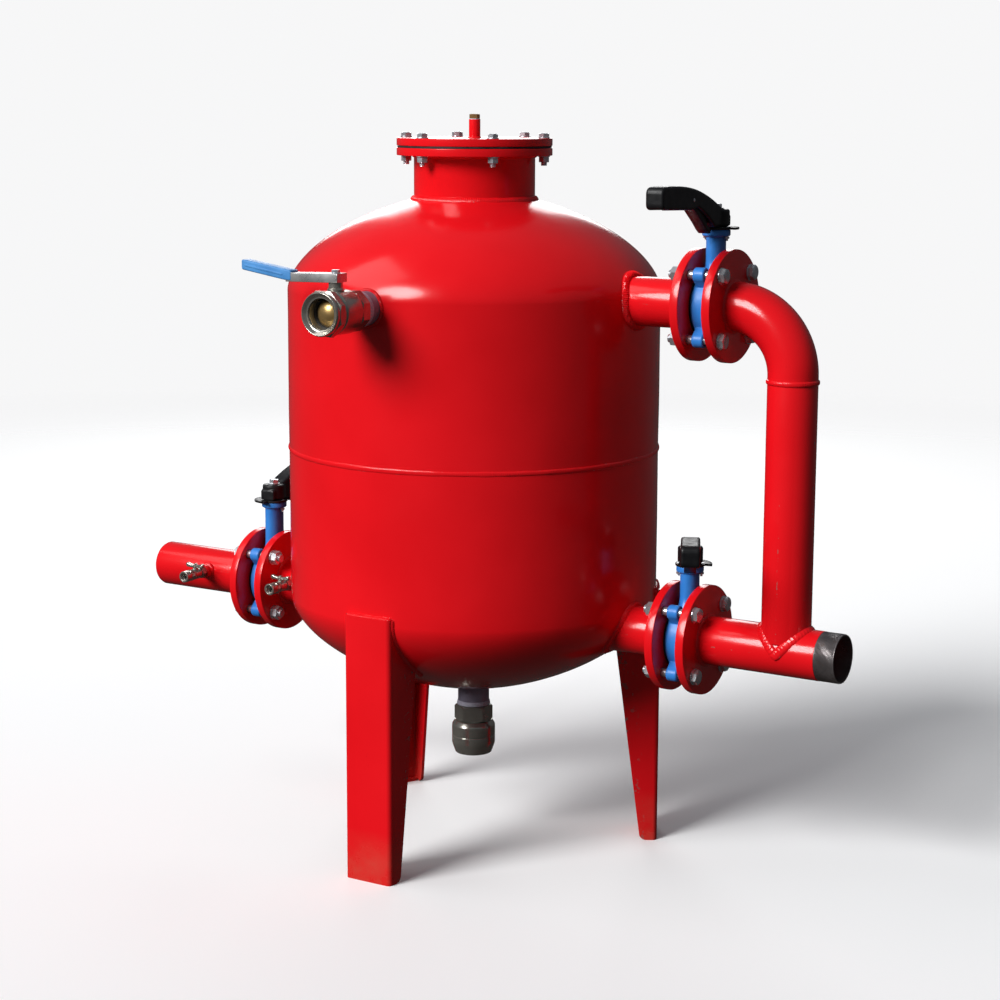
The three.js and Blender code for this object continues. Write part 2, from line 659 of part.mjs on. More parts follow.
// ---- flush ball valve, drawn with the flow along X and x = 0 on the vessel axis ----
const FLUSH_BODY_START = 386;
const BALL_X = 440;
const BALL_RADIUS = 32.4;
const BALL_SPACE = 34;
const BALL_BORE = 20;
const FLUSH_SOCKET_BORE = 28;
const FLUSH_STEM_RADIUS = 6;
const FLUSH_STEM_HOLE = 6.5;
const BONNET_RADIUS = 12.5;
const FLUSH_LEVER_Z = 57;
const FLUSH_LEVER_WIDTH = 30;
const FLUSH_LEVER_SHEET = 2;

function flushNipple() {
  return tube(SMALL_PIPE_RADIUS, SMALL_PIPE_BORE, at(322, 0, 0), at(FLUSH_BODY_START - GAP, 0, 0));
}

function flushBody() {
  const profile = [
    [0, FLUSH_BODY_START],
    [35, FLUSH_BODY_START],
    [35, 408],
    [39, 414],
    [39, 460],
    [36, 462],
    [36, 467],
    [0, 467],
  ];
  const geometry = new THREE.LatheGeometry(profile.map(([r, x]) => new THREE.Vector2(r, x)), PIPE_ROUND);
  geometry.rotateZ(-Math.PI / 2);
  const frontNut = rod(39.5, at(466, 0, 0), at(480, 0, 0), 8);
  const frontRim = rod(38, at(479, 0, 0), at(FLUSH_FACE, 0, 0), PIPE_ROUND, 36);
  const bonnet = rod(BONNET_RADIUS, at(BALL_X, 0, 30), at(BALL_X, 0, FLUSH_LEVER_Z + 5), STEM_ROUND);
  const bore = rod(FLUSH_SOCKET_BORE, at(FLUSH_BODY_START - 5, 0, 0), at(FLUSH_FACE + 5, 0, 0));
  const space = solid(new THREE.SphereGeometry(BALL_SPACE, PIPE_ROUND, STEM_ROUND).translate(BALL_X, 0, 0));
  const stemTop = at(BALL_X, 0, FLUSH_LEVER_Z + 9);
  const stemHole = rod(FLUSH_STEM_HOLE, at(BALL_X, 0, 0), stemTop, STEM_ROUND);
  return cut(joined(solid(geometry), frontNut, frontRim, bonnet), bore, space, stemHole);
}

// Shut: the ball's bore lies across the flow.
function flushBall() {
  const ball = solid(new THREE.SphereGeometry(BALL_RADIUS, PIPE_ROUND, STEM_ROUND)
    .translate(BALL_X, 0, 0));
  const bore = rod(BALL_BORE, at(BALL_X, -50, 0), at(BALL_X, 50, 0));
  const stem = rod(FLUSH_STEM_RADIUS, at(BALL_X, 0, 26), at(BALL_X, 0, FLUSH_LEVER_Z + 16), STEM_ROUND);
  return joined(cut(ball, bore), stem);
}

// Pressed channel lever over the bonnet, with a plastic sleeve; it reaches out to -Y of the
// valve's own frame.
function flushLever() {
  const side = outline([[-17, -5], [100, -8], [100, 10], [84, 8], [10, 10.5], [-17, 10.5]]);
  const hollow = outline([[-30, -20], [110, -20], [110, -8], [84, 8 - FLUSH_LEVER_SHEET],
    [10, 10.5 - FLUSH_LEVER_SHEET], [-30, 10.5 - FLUSH_LEVER_SHEET]]);
  const channel = cut(slab(side, FLUSH_LEVER_WIDTH), slab(hollow, FLUSH_LEVER_WIDTH - 2 * FLUSH_LEVER_SHEET));
  const sleeve = slab(outline([[88, -6], [104, -5], [196, 9], [196, 27], [104, 14], [88, 12]]), 24);
  const stemHole = rod(FLUSH_STEM_HOLE, at(0, 0, -9), at(0, 0, 30), STEM_ROUND);
  const handle = cut(joined(channel, sleeve), stemHole);
  return handle.rotate([0, 0, -90]).translate([BALL_X, 0, FLUSH_LEVER_Z]);
}

function flushValve() {
  const group = new THREE.Group();
  group.position.z = FLUSH_AXIS_Z;
  group.rotation.z = radians(-90);
  group.add(mesh('flush_nipple', flushNipple(), ZINC));
  group.add(mesh('flush_valve_body', flushBody(), NICKEL));
  group.add(mesh('flush_valve_ball', flushBall(), BRASS));
  group.add(mesh('flush_valve_lever', flushLever(), STAINLESS));
  return group;
}

// ---- gauge cock, drawn with the flow along X from the pipe's surface ----
const COCK_LENGTH = 76;
const COCK_BALL_X = 38;
const COCK_BALL_RADIUS = 7.4;
const COCK_WING_Z = 13.2;

function cockBody() {
  const start = COCK_BOSS_LENGTH + GAP;
  const shank = rod(COCK_BOSS_BORE - 0.6, at(3, 0, 0), at(start + 1, 0, 0), STEM_ROUND);
  const hexagon = hexBar(21, at(start, 0, 0), at(27, 0, 0));
  const barrel = rod(10, at(26, 0, 0), at(52, 0, 0), STEM_ROUND);
  const collar = rod(10.5, at(51, 0, 0), at(COCK_LENGTH, 0, 0), STEM_ROUND, 11.5);
  const bonnet = rod(6.5, at(COCK_BALL_X, 0, 8), at(COCK_BALL_X, 0, COCK_WING_Z - 1), HOLE_ROUND);
  const bore = rod(5.5, at(0, 0, 0), at(COCK_LENGTH + 5, 0, 0), HOLE_ROUND);
  const mouth = rod(8, at(60, 0, 0), at(COCK_LENGTH + 5, 0, 0), STEM_ROUND);
  const space = solid(new THREE.SphereGeometry(COCK_BALL_RADIUS + 1, STEM_ROUND, STEM_ROUND)
    .translate(COCK_BALL_X, 0, 0));
  const stemHole = rod(3.4, at(COCK_BALL_X, 0, 0), at(COCK_BALL_X, 0, COCK_WING_Z + 5), STEM_ROUND);
  return cut(joined(shank, hexagon, barrel, collar, bonnet), bore, mouth, space, stemHole);
}

// Wing handle, stem and ball in one, shut with the wings across the flow.
function cockWing() {
  const ball = solid(new THREE.SphereGeometry(COCK_BALL_RADIUS, STEM_ROUND, HOLE_ROUND)
    .translate(COCK_BALL_X, 0, 0));
  const port = rod(3.5, at(COCK_BALL_X, -20, 0), at(COCK_BALL_X, 20, 0), HOLE_ROUND);
  const stem = rod(3, at(COCK_BALL_X, 0, 5), at(COCK_BALL_X, 0, COCK_WING_Z + 4), STEM_ROUND);
  const wingShape = outline([
    [-21, 2],
    [-18, 0],
    [18, 0],
    [21, 2],
    [22, 8],
    [16, 9],
    [7, 5],
    [-7, 5],
    [-16, 9],
    [-22, 8],
  ]);
  const wing = slab(wingShape, 8).rotate([0, 0, 90]).translate([COCK_BALL_X, 0, COCK_WING_Z]);
  return joined(cut(ball, port), stem, wing);
}

function gaugeCock(name, x) {
  const group = new THREE.Group();
  group.position.set(x, -PIPE_RADIUS, COCK_AXIS_Z);
  group.rotation.z = radians(-90);
  group.add(mesh(`${name}_body`, cockBody(), NICKEL));
  group.add(mesh(`${name}_wing`, cockWing(), NICKEL));
  return group;
}

// ---- internals ----
// Capped pipe that carries the feed to the middle of the vessel and lets it out upwards.
function inletDiffuser() {
  const start = 80;
  const end = UPPER_NOZZLE_START - GAP;
  const pipe = rod(PIPE_RADIUS, at(start, 0, UPPER_AXIS_Z), at(end, 0, UPPER_AXIS_Z));
  const bore = rod(PIPE_BORE, at(start + 5, 0, UPPER_AXIS_Z), at(end + 5, 0, UPPER_AXIS_Z));
  const slots = Array.from({ length: 5 }, (_, i) => {
    const x = start + 30 + 38 * i;
    return block(at(x, -60, UPPER_AXIS_Z + 12), at(x + 12, 60, UPPER_AXIS_Z + 60));
  });
  return cut(pipe, bore, ...slots);
}

// Collector pipe between the two lower nozzles with cross laterals.
function underdrain() {
  const end = LOWER_NOZZLE_START - GAP;
  const places = [-190, -95, 0, 95, 190];
  const reach = (x) => Math.sqrt(285 ** 2 - x ** 2);
  const laterals = places.map((x) => (
    rod(14, at(x, -reach(x), LOWER_AXIS_Z), at(x, reach(x), LOWER_AXIS_Z), HOLE_ROUND)));
  const channels = places.map((x) => (
    rod(11, at(x, 4 - reach(x), LOWER_AXIS_Z), at(x, reach(x) - 4, LOWER_AXIS_Z), HOLE_ROUND)));
  const header = rod(PIPE_RADIUS, at(-end, 0, LOWER_AXIS_Z), at(end, 0, LOWER_AXIS_Z));
  const bore = rod(PIPE_BORE, at(-end - 5, 0, LOWER_AXIS_Z), at(end + 5, 0, LOWER_AXIS_Z));
  return cut(joined(header, ...laterals), bore, ...channels);
}

// ---- assembly ----
const tank = new THREE.Group();
tank.add(mesh('upper_shell', upperShell(), RED_PAINT));
tank.add(mesh('lower_shell', lowerShell(), RED_PAINT));
tank.add(mesh('drain_coupling', drainCoupling(), NICKEL));
tank.add(...legs());
tank.add(mesh('hatch_neck', hatchNeck(), RED_PAINT));
tank.add(mesh('hatch_gasket', hatchGasket(), RUBBER));
tank.add(mesh('hatch_lid', hatchLid(), RED_PAINT));
tank.add(mesh('vent_plug', ventPlug(), BRASS));
tank.add(...hatchBolts());
tank.add(mesh('filter_nozzle', nozzle(UPPER_NOZZLE_START, UPPER_PACK_X, UPPER_AXIS_Z), RED_PAINT));
tank.add(mesh('backwash_nozzle', nozzle(LOWER_NOZZLE_START, LOWER_PACK_X, LOWER_AXIS_Z), RED_PAINT));
tank.add(mesh('outlet_nozzle', outletNozzle(), RED_PAINT));
tank.add(mesh('filter_elbow', filterElbow(), RED_PAINT));
tank.add(mesh('riser_pipe', riserPipe(), RED_PAINT));
tank.add(mesh('inlet_pipe', inletPipe(), RED_PAINT));
tank.add(mesh('outlet_pipe', outletPipe(), RED_PAINT));
for (const { name, pack, side, axisZ, neck, lever, travel } of VALVES) {
  const centreX = side * (pack + FLANGE_THICKNESS + VALVE_WIDTH / 2);
  tank.add(butterflyValve(name, centreX, axisZ, neck, lever, travel));
  tank.add(...flangeBolts(name.replace('_valve', ''), pack, axisZ, side));
}
tank.add(flushValve());
tank.add(gaugeCock('stub_cock', STUB_COCK_X));
tank.add(gaugeCock('outlet_cock', OUTLET_COCK_X));
tank.add(mesh('inlet_diffuser', inletDiffuser(), STAINLESS));
tank.add(mesh('underdrain', underdrain(), STAINLESS));
tank.position.set((OUTLET_END_X - INLET_END_X) / 2, (FLUSH_FACE - SHELL_RADIUS) / 2, 0);

const group = new THREE.Group();
group.add(tank);

export default group;
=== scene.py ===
"""Looks for a sand-media filter vessel with its valves and pipework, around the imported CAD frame.

Shapes are worked out in millimetres in the row frame and become metres in piece().
"""
import json
import math
import random

import bmesh
import bpy
import numpy as np
from mathutils import Matrix, Vector, noise


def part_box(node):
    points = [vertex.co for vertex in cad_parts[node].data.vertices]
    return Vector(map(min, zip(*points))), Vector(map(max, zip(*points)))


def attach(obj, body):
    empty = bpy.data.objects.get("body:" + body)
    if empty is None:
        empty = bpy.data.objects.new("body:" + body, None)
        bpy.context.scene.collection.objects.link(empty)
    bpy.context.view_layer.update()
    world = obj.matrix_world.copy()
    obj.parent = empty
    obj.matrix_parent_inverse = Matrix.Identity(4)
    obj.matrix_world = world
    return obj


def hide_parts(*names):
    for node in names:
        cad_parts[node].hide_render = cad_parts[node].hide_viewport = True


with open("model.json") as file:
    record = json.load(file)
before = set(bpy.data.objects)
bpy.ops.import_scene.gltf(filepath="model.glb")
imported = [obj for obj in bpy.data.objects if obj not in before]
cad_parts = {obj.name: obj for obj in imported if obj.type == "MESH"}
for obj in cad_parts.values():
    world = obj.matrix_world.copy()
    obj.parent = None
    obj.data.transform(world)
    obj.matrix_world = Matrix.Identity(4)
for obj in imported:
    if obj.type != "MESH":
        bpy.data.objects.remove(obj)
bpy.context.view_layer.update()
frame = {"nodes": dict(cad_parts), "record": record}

random.seed(11)
TAU = 2 * math.pi


# ---- places from the frame
def span(node):
    """Lowest and highest corner of a CAD node, in millimetres."""
    low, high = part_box(node)
    return np.array(low) * 1000, np.array(high) * 1000


def middle(node):
    low, high = span(node)
    return (low + high) / 2


TANK_X, TANK_Y, _ = middle("upper_shell")
SEAM_Z = span("upper_shell")[0][2]
FILTER_Z = middle("filter_nozzle")[2]
LOWER_Z = middle("inlet_pipe")[2]
RISER_X = middle("riser_pipe")[0]
FLUSH_Z = middle("flush_nipple")[2]

# Dimensions shared with the CAD model.
SHELL_RADIUS = 350
SHELL_WALL = 6
HEAD_HEIGHT = 184
HEAD_EXPONENT = 1.7
TOP_TANGENT_Z = 1061
BOTTOM_TANGENT_Z = 482
PIPE_RADIUS = 44.45
PIPE_BORE = 41.25
SMALL_PIPE_RADIUS = 30.15
SMALL_PIPE_BORE = 26.4
FLANGE_RADIUS = 100
FLANGE_THICKNESS = 16
FLANGE_BOLT_CIRCLE = 80
VALVE_WIDTH = 46
LEG_RADIUS = 358
LEG_WIDTH = 100
LEG_PLATE = 6
NECK_RADIUS = 113
NECK_BORE = 107
HATCH_RADIUS = 145
HATCH_PLATE = 14
COCK_BALL_AT = 38
COCK_LENGTH = 76
COCK_DROP = 6                       # the cock's axis from the pipe's axis
COCK_WING_RISE = 13.2


# ---- shapes
def full_turn(count):
    """Evenly spaced angles, once round."""
    return np.arange(count) * TAU / count


def unit(vectors):
    """Rows of vectors brought to length one."""
    return vectors / np.linalg.norm(vectors, axis=1)[:, None]


class Shape:
    """Points in millimetres and the faces between them."""

    def __init__(self, points, faces):
        self.points = np.asarray(points, float).reshape(-1, 3)
        self.faces = [tuple(int(i) for i in face) for face in faces]

    def __add__(self, other):
        shift = len(self.points)
        moved = [tuple(i + shift for i in face) for face in other.faces]
        return Shape(np.vstack([self.points, other.points]), self.faces + moved)

    def placed(self, matrix):
        m = np.array(matrix)
        return Shape(self.points @ m[:3, :3].T + m[:3, 3], self.faces)

    def bent(self, change):
        """The same shape with every point passed through change(points)."""
        return Shape(change(self.points), self.faces)


def pose(origin=(0, 0, 0), axis=(0, 0, 1), across=None):
    """Matrix that takes local +Z to axis and local +X to across, at origin."""
    z = Vector(axis).normalized()
    side = Vector(across) if across is not None else z.orthogonal()
    x = (side - z * side.dot(z)).normalized()
    y = z.cross(x)
    turn = Matrix((x, y, z)).transposed().to_4x4()
    return Matrix.Translation(Vector(origin)) @ turn


def turned_by(matrix, angle):
    return matrix @ Matrix.Rotation(angle, 4, "Z")


def shift(x, y, z):
    return Matrix.Translation((x, y, z))


def grid(points, wrap_u=False, capped=False):
    """Skin over an array of points (u, v, 3); v runs round a section, u along the piece."""
    points = np.asarray(points, float)
    nu, nv = points.shape[:2]
    faces = []
    for u in range(nu if wrap_u else nu - 1):
        for v in range(nv):
            a, b = (u + 1) % nu, (v + 1) % nv
            faces.append((u * nv + v, u * nv + b, a * nv + b, a * nv + v))
    if capped:
        faces.append(tuple(range(nv)))
        faces.append(tuple(range((nu - 1) * nv, nu * nv)))
    return Shape(points.reshape(-1, 3), faces)


def rounded(outline, radius, steps=3):
    """The closed outline with its corners eased."""
    corners = [np.array(p, float) for p in outline]
    out = []
    for i, p in enumerate(corners):
        before, after = corners[i - 1] - p, corners[(i + 1) % len(corners)] - p
        reach = min(radius, 0.45 * np.linalg.norm(before), 0.45 * np.linalg.norm(after))
        start = p + before / np.linalg.norm(before) * reach
        end = p + after / np.linalg.norm(after) * reach
        for t in np.arange(steps + 1) / steps:
            out.append((1 - t) ** 2 * start + 2 * t * (1 - t) * p + t * t * end)
    return out


def spun(profile, segments):
    """Rows of points: a (radius, height) profile turned round Z."""
    angles = full_turn(segments)
    return np.array([[(r * math.cos(a), r * math.sin(a), z) for a in angles] for r, z in profile])


def revolve(profile, segments=96, radius=0.0, steps=3):
    """A closed (radius, height) profile spun round Z, its corners eased by radius."""
    if radius:
        profile = rounded(profile, radius, steps)
    return grid(spun(profile, segments), wrap_u=True)


def rod(radius, low, high, segments=48, ease=0.6):
    """A round bar along Z with eased ends."""
    profile = [(0.001, low), (radius - ease, low), (radius, low + ease), (radius, high - ease),
               (radius - ease, high), (0.001, high)]
    return grid(spun(profile, segments), capped=True)


def tube(radius, bore, low, high, segments=96, ease=0.5, steps=3):
    return revolve([(bore, low), (radius, low), (radius, high), (bore, high)], segments, ease, steps)


def circle(radius, angles, height):
    return np.stack([radius * np.cos(angles), radius * np.sin(angles), height + 0 * angles], 1)


def plate(outline, thickness, ease=0.8, segments=2):
    """An outline in X and Z given thickness along Y, centred on y = 0, with eased edges."""
    bm = bmesh.new()
    corners = [bm.verts.new((p[0], -thickness / 2, p[1])) for p in outline]
    base = bm.faces.new(corners)
    made = bmesh.ops.extrude_face_region(bm, geom=[base])
    lifted = [g for g in made["geom"] if isinstance(g, bmesh.types.BMVert)]
    bmesh.ops.translate(bm, verts=lifted, vec=(0, thickness, 0))
    bmesh.ops.recalc_face_normals(bm, faces=bm.faces)
    if ease:
        rims = [e for e in bm.edges if abs(e.verts[0].co.y - e.verts[1].co.y) < 1e-6]
        bmesh.ops.bevel(bm, geom=rims, offset=ease, segments=segments, profile=0.5, affect="EDGES",
                        clamp_overlap=True)
    return from_bmesh(bm)


def from_bmesh(bm):
    bm.verts.index_update()
    shape = Shape([v.co[:] for v in bm.verts], [[v.index for v in f.verts] for f in bm.faces])
    bm.free()
    return shape


def block(low, high):
    (x0, y0, z0), (x1, y1, z1) = low, high
    outline = [(x0, z0), (x1, z0), (x1, z1), (x0, z1)]
    return plate(outline, y1 - y0).placed(shift(0, (y0 + y1) / 2, 0))


def hexagon(flats, low, high, bore=0.0, chamfers=(True, True), sides=6):
    """A hexagon along Z with turned chamfers, and a round bore if one is given."""
    count = sides * 12
    angles = full_turn(count)
    wedge = TAU / sides
    rho = flats / 2 / np.cos((angles + wedge / 2) % wedge - wedge / 2)
    facing = 0.95 * flats / 2
    drop = (rho - facing) * math.tan(math.radians(30))

    hole = max(bore, 0.01)
    heights = (low, low, low + drop * chamfers[0] + 0.01, high - drop * chamfers[1] - 0.01, high, high)
    radii = (hole, facing, rho, rho, facing, hole)
    rows = [circle(radius, angles, height) for radius, height in zip(radii, heights)]
    return grid(np.array(rows), wrap_u=bore > 0, capped=bore == 0)


def thread(radius, pitch, low, high, depth=None, segments=36, steps=5, bore=0.0):
    """A bar with a helical thread along Z; with a bore it is a threaded band."""
    depth = depth or pitch * 0.6
    angles = full_turn(segments)
    heights = np.linspace(low, high, max(4, int((high - low) / pitch * steps)))
    rows = []
    for z in heights:
        phase = (z / pitch - angles / TAU) % 1
        fade = min(1, (z - low) / pitch + 0.2, (high - z) / pitch + 0.2)
        r = radius - depth * (np.abs(2 * phase - 1) * fade + 0.6 * (1 - fade))
        rows.append(circle(r, angles, z))
    if not bore:
        return grid(np.array(rows), capped=True)
    rows += [circle(bore, angles, z) for z in (high, low)]
    return grid(np.array(rows), wrap_u=True)


def inner_thread(radius, pitch, low, high, outside):
    """A thin sleeve whose inside is threaded, for lining a socket."""
    angles = full_turn(72)
    heights = np.linspace(high, low, int((high - low) / pitch * 5))
    rows = []
    for z in heights:
        r = radius + 0.6 * pitch * np.abs(2 * ((z / pitch - angles / TAU) % 1) - 1)
        rows.append(circle(r, angles, z))
    rows += [circle(outside, angles, z) for z in (low, high)]
    return grid(np.array(rows), wrap_u=True)


def resample(points, step, closed):
    points = np.asarray(points, float)
    if closed:
        points = np.vstack([points, points[:1]])
    lengths = np.concatenate([[0], np.cumsum(np.linalg.norm(np.diff(points, axis=0), axis=1))])
    count = max(8, int(lengths[-1] / step))
    at = np.linspace(0, lengths[-1], count, endpoint=not closed)
    return np.stack([np.interp(at, lengths, points[:, k]) for k in range(3)], 1), at


def weld_bead(path, outward, width=8.0, height=2.2, closed=True, pitch=3.4, seed=0):
    """A laid weld with overlapping ripples. outward(points) gives the way it stands proud."""
    places, at = resample(path, 0.9, closed)
    ups = unit(outward(places))
    if closed:
        ahead = np.roll(places, -1, 0) - np.roll(places, 1, 0)
    else:
        ahead = np.gradient(places, axis=0)
    across = unit(np.cross(unit(ahead), ups))
    share = np.linspace(-1, 1, 9)
    rows = []
    for i, place in enumerate(places):
        wander = [noise.noise(Vector(place) * 0.03 + Vector((seed, k * 9.0, 0))) for k in range(3)]
        half = width / 2 * (1 + 0.22 * wander[0])
        crest = height * (1 + 0.3 * wander[1])
        phase = (at[i] / pitch + 0.55 * share ** 2 + 0.4 * wander[2]) % 1
        rise = crest * np.sqrt(np.maximum(0, 1 - share ** 2)) * (0.78 + 0.3 * phase ** 1.5)
        if not closed:
            rise = rise * min(1, i / 4 + 0.15, (len(places) - 1 - i) / 4 + 0.15)
        top = [place + across[i] * half * a + ups[i] * b for a, b in zip(share, rise)]
        under = [place + across[i] * half * a - ups[i] * 1.2 for a in (0.8, -0.8)]
        rows.append(top + under)
    return grid(np.array(rows), wrap_u=closed, capped=not closed)


def ring_weld(radius, z, lean=1.0, width=8.0, height=2.2, seed=0):
    """A bead round the Z axis; lean 0 stands it straight out, 1 or -1 tips it up or down 45 degrees."""
    def outward(p):
        return unit(p * np.array([1, 1, 0])) + np.array([0, 0, lean])
    return weld_bead(circle(radius, full_turn(180), z), outward, width, height, seed=seed)


# ---- joining and cutting
def shown(name, data):
    """A new object with this data, linked into the scene."""
    obj = bpy.data.objects.new(name, data)
    bpy.context.scene.collection.objects.link(obj)
    return obj


def scratch(shape):
    mesh = bpy.data.meshes.new("scratch")
    mesh.from_pydata([tuple(p) for p in shape.points], [], shape.faces)
    bm = bmesh.new()
    bm.from_mesh(mesh)
    bmesh.ops.remove_doubles(bm, verts=bm.verts, dist=0.002)
    bmesh.ops.recalc_face_normals(bm, faces=bm.faces)
    bm.to_mesh(mesh)
    bm.free()
    return shown("scratch", mesh)


def baked(obj, tools=()):
    """The shape of obj with its modifiers applied; obj and the tools are then deleted."""
    bpy.context.view_layer.update()
    shaped = obj.evaluated_get(bpy.context.evaluated_depsgraph_get()).to_mesh()
    shape = Shape([v.co[:] for v in shaped.vertices], [tuple(p.vertices) for p in shaped.polygons])
    for each in (obj, *tools):
        data = each.data
        bpy.data.objects.remove(each)
        bpy.data.meshes.remove(data)
    return shape


def boolean(shape, others):
    obj = scratch(shape)
    tools = [scratch(other) for other in others]
    for tool in tools:
        step = obj.modifiers.new("step", "BOOLEAN")
        step.operation = "DIFFERENCE"
        step.solver = "EXACT"
        step.object = tool
    return baked(obj, tools)


def cast(shape, voxel, rounds):
    """Melts overlapping shapes into one casting with soft fillets."""
    obj = scratch(shape)
    remesh = obj.modifiers.new("remesh", "REMESH")
    remesh.mode = "VOXEL"
    remesh.voxel_size = voxel
    smooth = obj.modifiers.new("smooth", "SMOOTH")
    smooth.iterations = rounds
    smooth.factor = 0.5
    return baked(obj)


# ---- materials
def feed(tree, socket, value):
    """Gives a socket its value: a number or colour, or another socket to link from."""
    if hasattr(value, "links"):
        tree.links.new(value, socket)
    else:
        socket.default_value = value


def new_node(tree, kind, **values):
    node = tree.nodes.new("ShaderNode" + kind)
    for socket, value in values.items():
        feed(tree, node.inputs[socket.replace("_", " ")], value)
    return node


class Finish:
    """A Principled material with a few helpers for its procedural nodes."""

    def __init__(self, slot, roughness, metallic=0.0, **fixed):
        self.slot = slot
        self.material = bpy.data.materials.new(slot)
        self.material.use_nodes = True
        self.tree = self.material.node_tree
        self.shader = self.tree.nodes["Principled BSDF"]
        for name, value in {"Roughness": roughness, "Metallic": metallic, **fixed}.items():
            self.shader.inputs[name.replace("_", " ")].default_value = value
        self.place = self.node("TexCoord").outputs["Object"]

    def node(self, kind, **values):
        return new_node(self.tree, kind, **values)

    def stretched(self, scale):
        return self.node("Mapping", Vector=self.place, Scale=scale).outputs["Vector"]

    def noise(self, scale, detail=3.0, roughness=0.5, vector=None):
        node = self.node("TexNoise", Vector=vector or self.place, Scale=scale, Detail=detail,
                         Roughness=roughness)
        return node.outputs["Fac"]

    def remap(self, value, low, high, to_low=0.0, to_high=1.0):
        node = self.node("MapRange", Value=value, From_Min=low, From_Max=high, To_Min=to_low,
                         To_Max=to_high)
        return node.outputs["Result"]

    def maths(self, operation, a, b):
        node = self.node("Math")
        node.operation = operation
        feed(self.tree, node.inputs[0], a)
        feed(self.tree, node.inputs[1], b)
        return node.outputs[0]

    def mix(self, factor, a, b):
        node = self.node("Mix")
        node.data_type = "RGBA"
        feed(self.tree, node.inputs["Factor"], factor)
        for socket, colour in ((node.inputs[6], a), (node.inputs[7], b)):
            feed(self.tree, socket, colour if hasattr(colour, "links") else (*colour, 1))
        return node.outputs[2]

    def edges(self, low, high):
        """1 on convex edges of dense meshes and 0 elsewhere."""
        return self.remap(self.node("NewGeometry").outputs["Pointiness"], low, high)

    def height(self):
        return self.node("SeparateXYZ", Vector=self.place).outputs["Z"]

    def colour(self, value):
        feed(self.tree, self.shader.inputs["Base Color"], value)

    def roughness(self, value):
        feed(self.tree, self.shader.inputs["Roughness"], value)

    def bumps(self, *layers):
        """Each layer is (height, distance in metres, strength)."""
        last = None
        for height, distance, strength in layers:
            node = self.node("Bump", Height=height, Distance=distance, Strength=strength)
            if last is not None:
                self.tree.links.new(last, node.inputs["Normal"])
            last = node.outputs["Normal"]
        self.tree.links.new(last, self.shader.inputs["Normal"])


def red_paint():
    """Gloss enamel over rolled steel: faint orange peel, slow waves, chips on edges, dust by the floor."""
    f = Finish("red_paint", 0.2, Specular_IOR_Level=0.32, Coat_Weight=0.1, Coat_Roughness=0.08)
    tone = f.mix(f.remap(f.noise(4, 3), 0.35, 0.65), (0.70, 0.0050, 0.0090), (0.78, 0.0070, 0.0120))
    specks = f.remap(f.noise(520, 2), 0.72, 0.76)
    tone = f.mix(f.maths("MULTIPLY", specks, 0.6), tone, (0.40, 0.004, 0.007))
    chips = f.maths("MULTIPLY", f.edges(0.56, 0.60), f.remap(f.noise(85, 4, 0.6), 0.60, 0.64))
    tone = f.mix(chips, tone, (0.20, 0.11, 0.10))
    dust = f.maths("MULTIPLY", f.remap(f.height(), 0.10, 0.0), f.remap(f.noise(11, 6, 0.65), 0.35, 0.75))
    tone = f.mix(f.maths("MULTIPLY", dust, 0.45), tone, (0.36, 0.15, 0.09))
    f.colour(tone)
    rough = f.remap(f.noise(9, 3), 0.3, 0.7, 0.15, 0.25)
    f.roughness(f.maths("ADD", rough, f.maths("MULTIPLY", f.maths("ADD", dust, chips), 0.3)))
    f.bumps((f.noise(7, 2), 0.004, 0.06), (f.noise(400, 2), 0.0005, 0.09))
    return f


def coating(name, slot, tones, patches, polish, grain, worn=None, lay=None, **fixed):
    """Paint, plastic, rubber or dull zinc: two tones in patches, uneven polish, fine grain, rubbed edges.

    patches and polish are (noise scale, detail, low, high); grain is (noise scale, detail, roughness,
    depth, strength); worn is (edge low, edge high, noise scale, detail, noise high, share, colour).
    """
    f = Finish(slot, **fixed)
    f.material.name = name
    scale, detail, low, high = patches
    tone = f.mix(f.remap(f.noise(scale, detail), low, high), *tones)
    if worn is not None:
        edge_low, edge_high, scale, detail, high, share, colour = worn
        patchy = f.remap(f.noise(scale, detail), 0.48, high)
        rubbed = f.maths("MULTIPLY", f.edges(edge_low, edge_high), patchy)
        tone = f.mix(f.maths("MULTIPLY", rubbed, share), tone, colour)
    f.colour(tone)
    if polish is not None:
        scale, detail, low, high = polish
        f.roughness(f.remap(f.noise(scale, detail), 0.3, 0.7, low, high))
    scale, detail, roughness, depth, strength = grain
    vector = f.stretched(lay) if lay is not None else None
    f.bumps((f.noise(scale, detail, roughness, vector), depth, strength))
    return f


def metal(slot, dark, light, low, high, grain, grain_depth, scratch=0.0, stain=None, lay=(1, 1, 22)):
    """Bare or plated metal: slow change of tone, uneven polish, a fine grain and tool marks along lay."""
    f = Finish(slot, (low + high) / 2, 0.8)
    tone = f.mix(f.remap(f.noise(28, 4), 0.3, 0.7), dark, light)
    if stain is not None:
        marks = f.remap(f.noise(75, 5, 0.65), 0.56, 0.74)
        tone = f.mix(f.maths("MULTIPLY", marks, 0.55), tone, stain)
    f.colour(tone)
    f.roughness(f.remap(f.noise(45, 4, 0.55), 0.3, 0.7, low, high))
    layers = [(f.noise(grain, 3, 0.5), 0.0003, grain_depth)]
    if scratch:
        layers.append((f.noise(150, 3, 0.6, f.stretched(lay)), 0.0003, scratch))
    f.bumps(*layers)
    return f


def cut_thread():
    """Oiled, freshly cut pipe thread with turning marks and a little brown bloom."""
    f = metal("zinc_steel", (0.20, 0.18, 0.18), (0.34, 0.31, 0.31), 0.26, 0.40, 700, 0.1,
              scratch=0.25, stain=(0.20, 0.13, 0.09), lay=(26, 1, 1))
    f.material.name = "cut_thread"
    return f


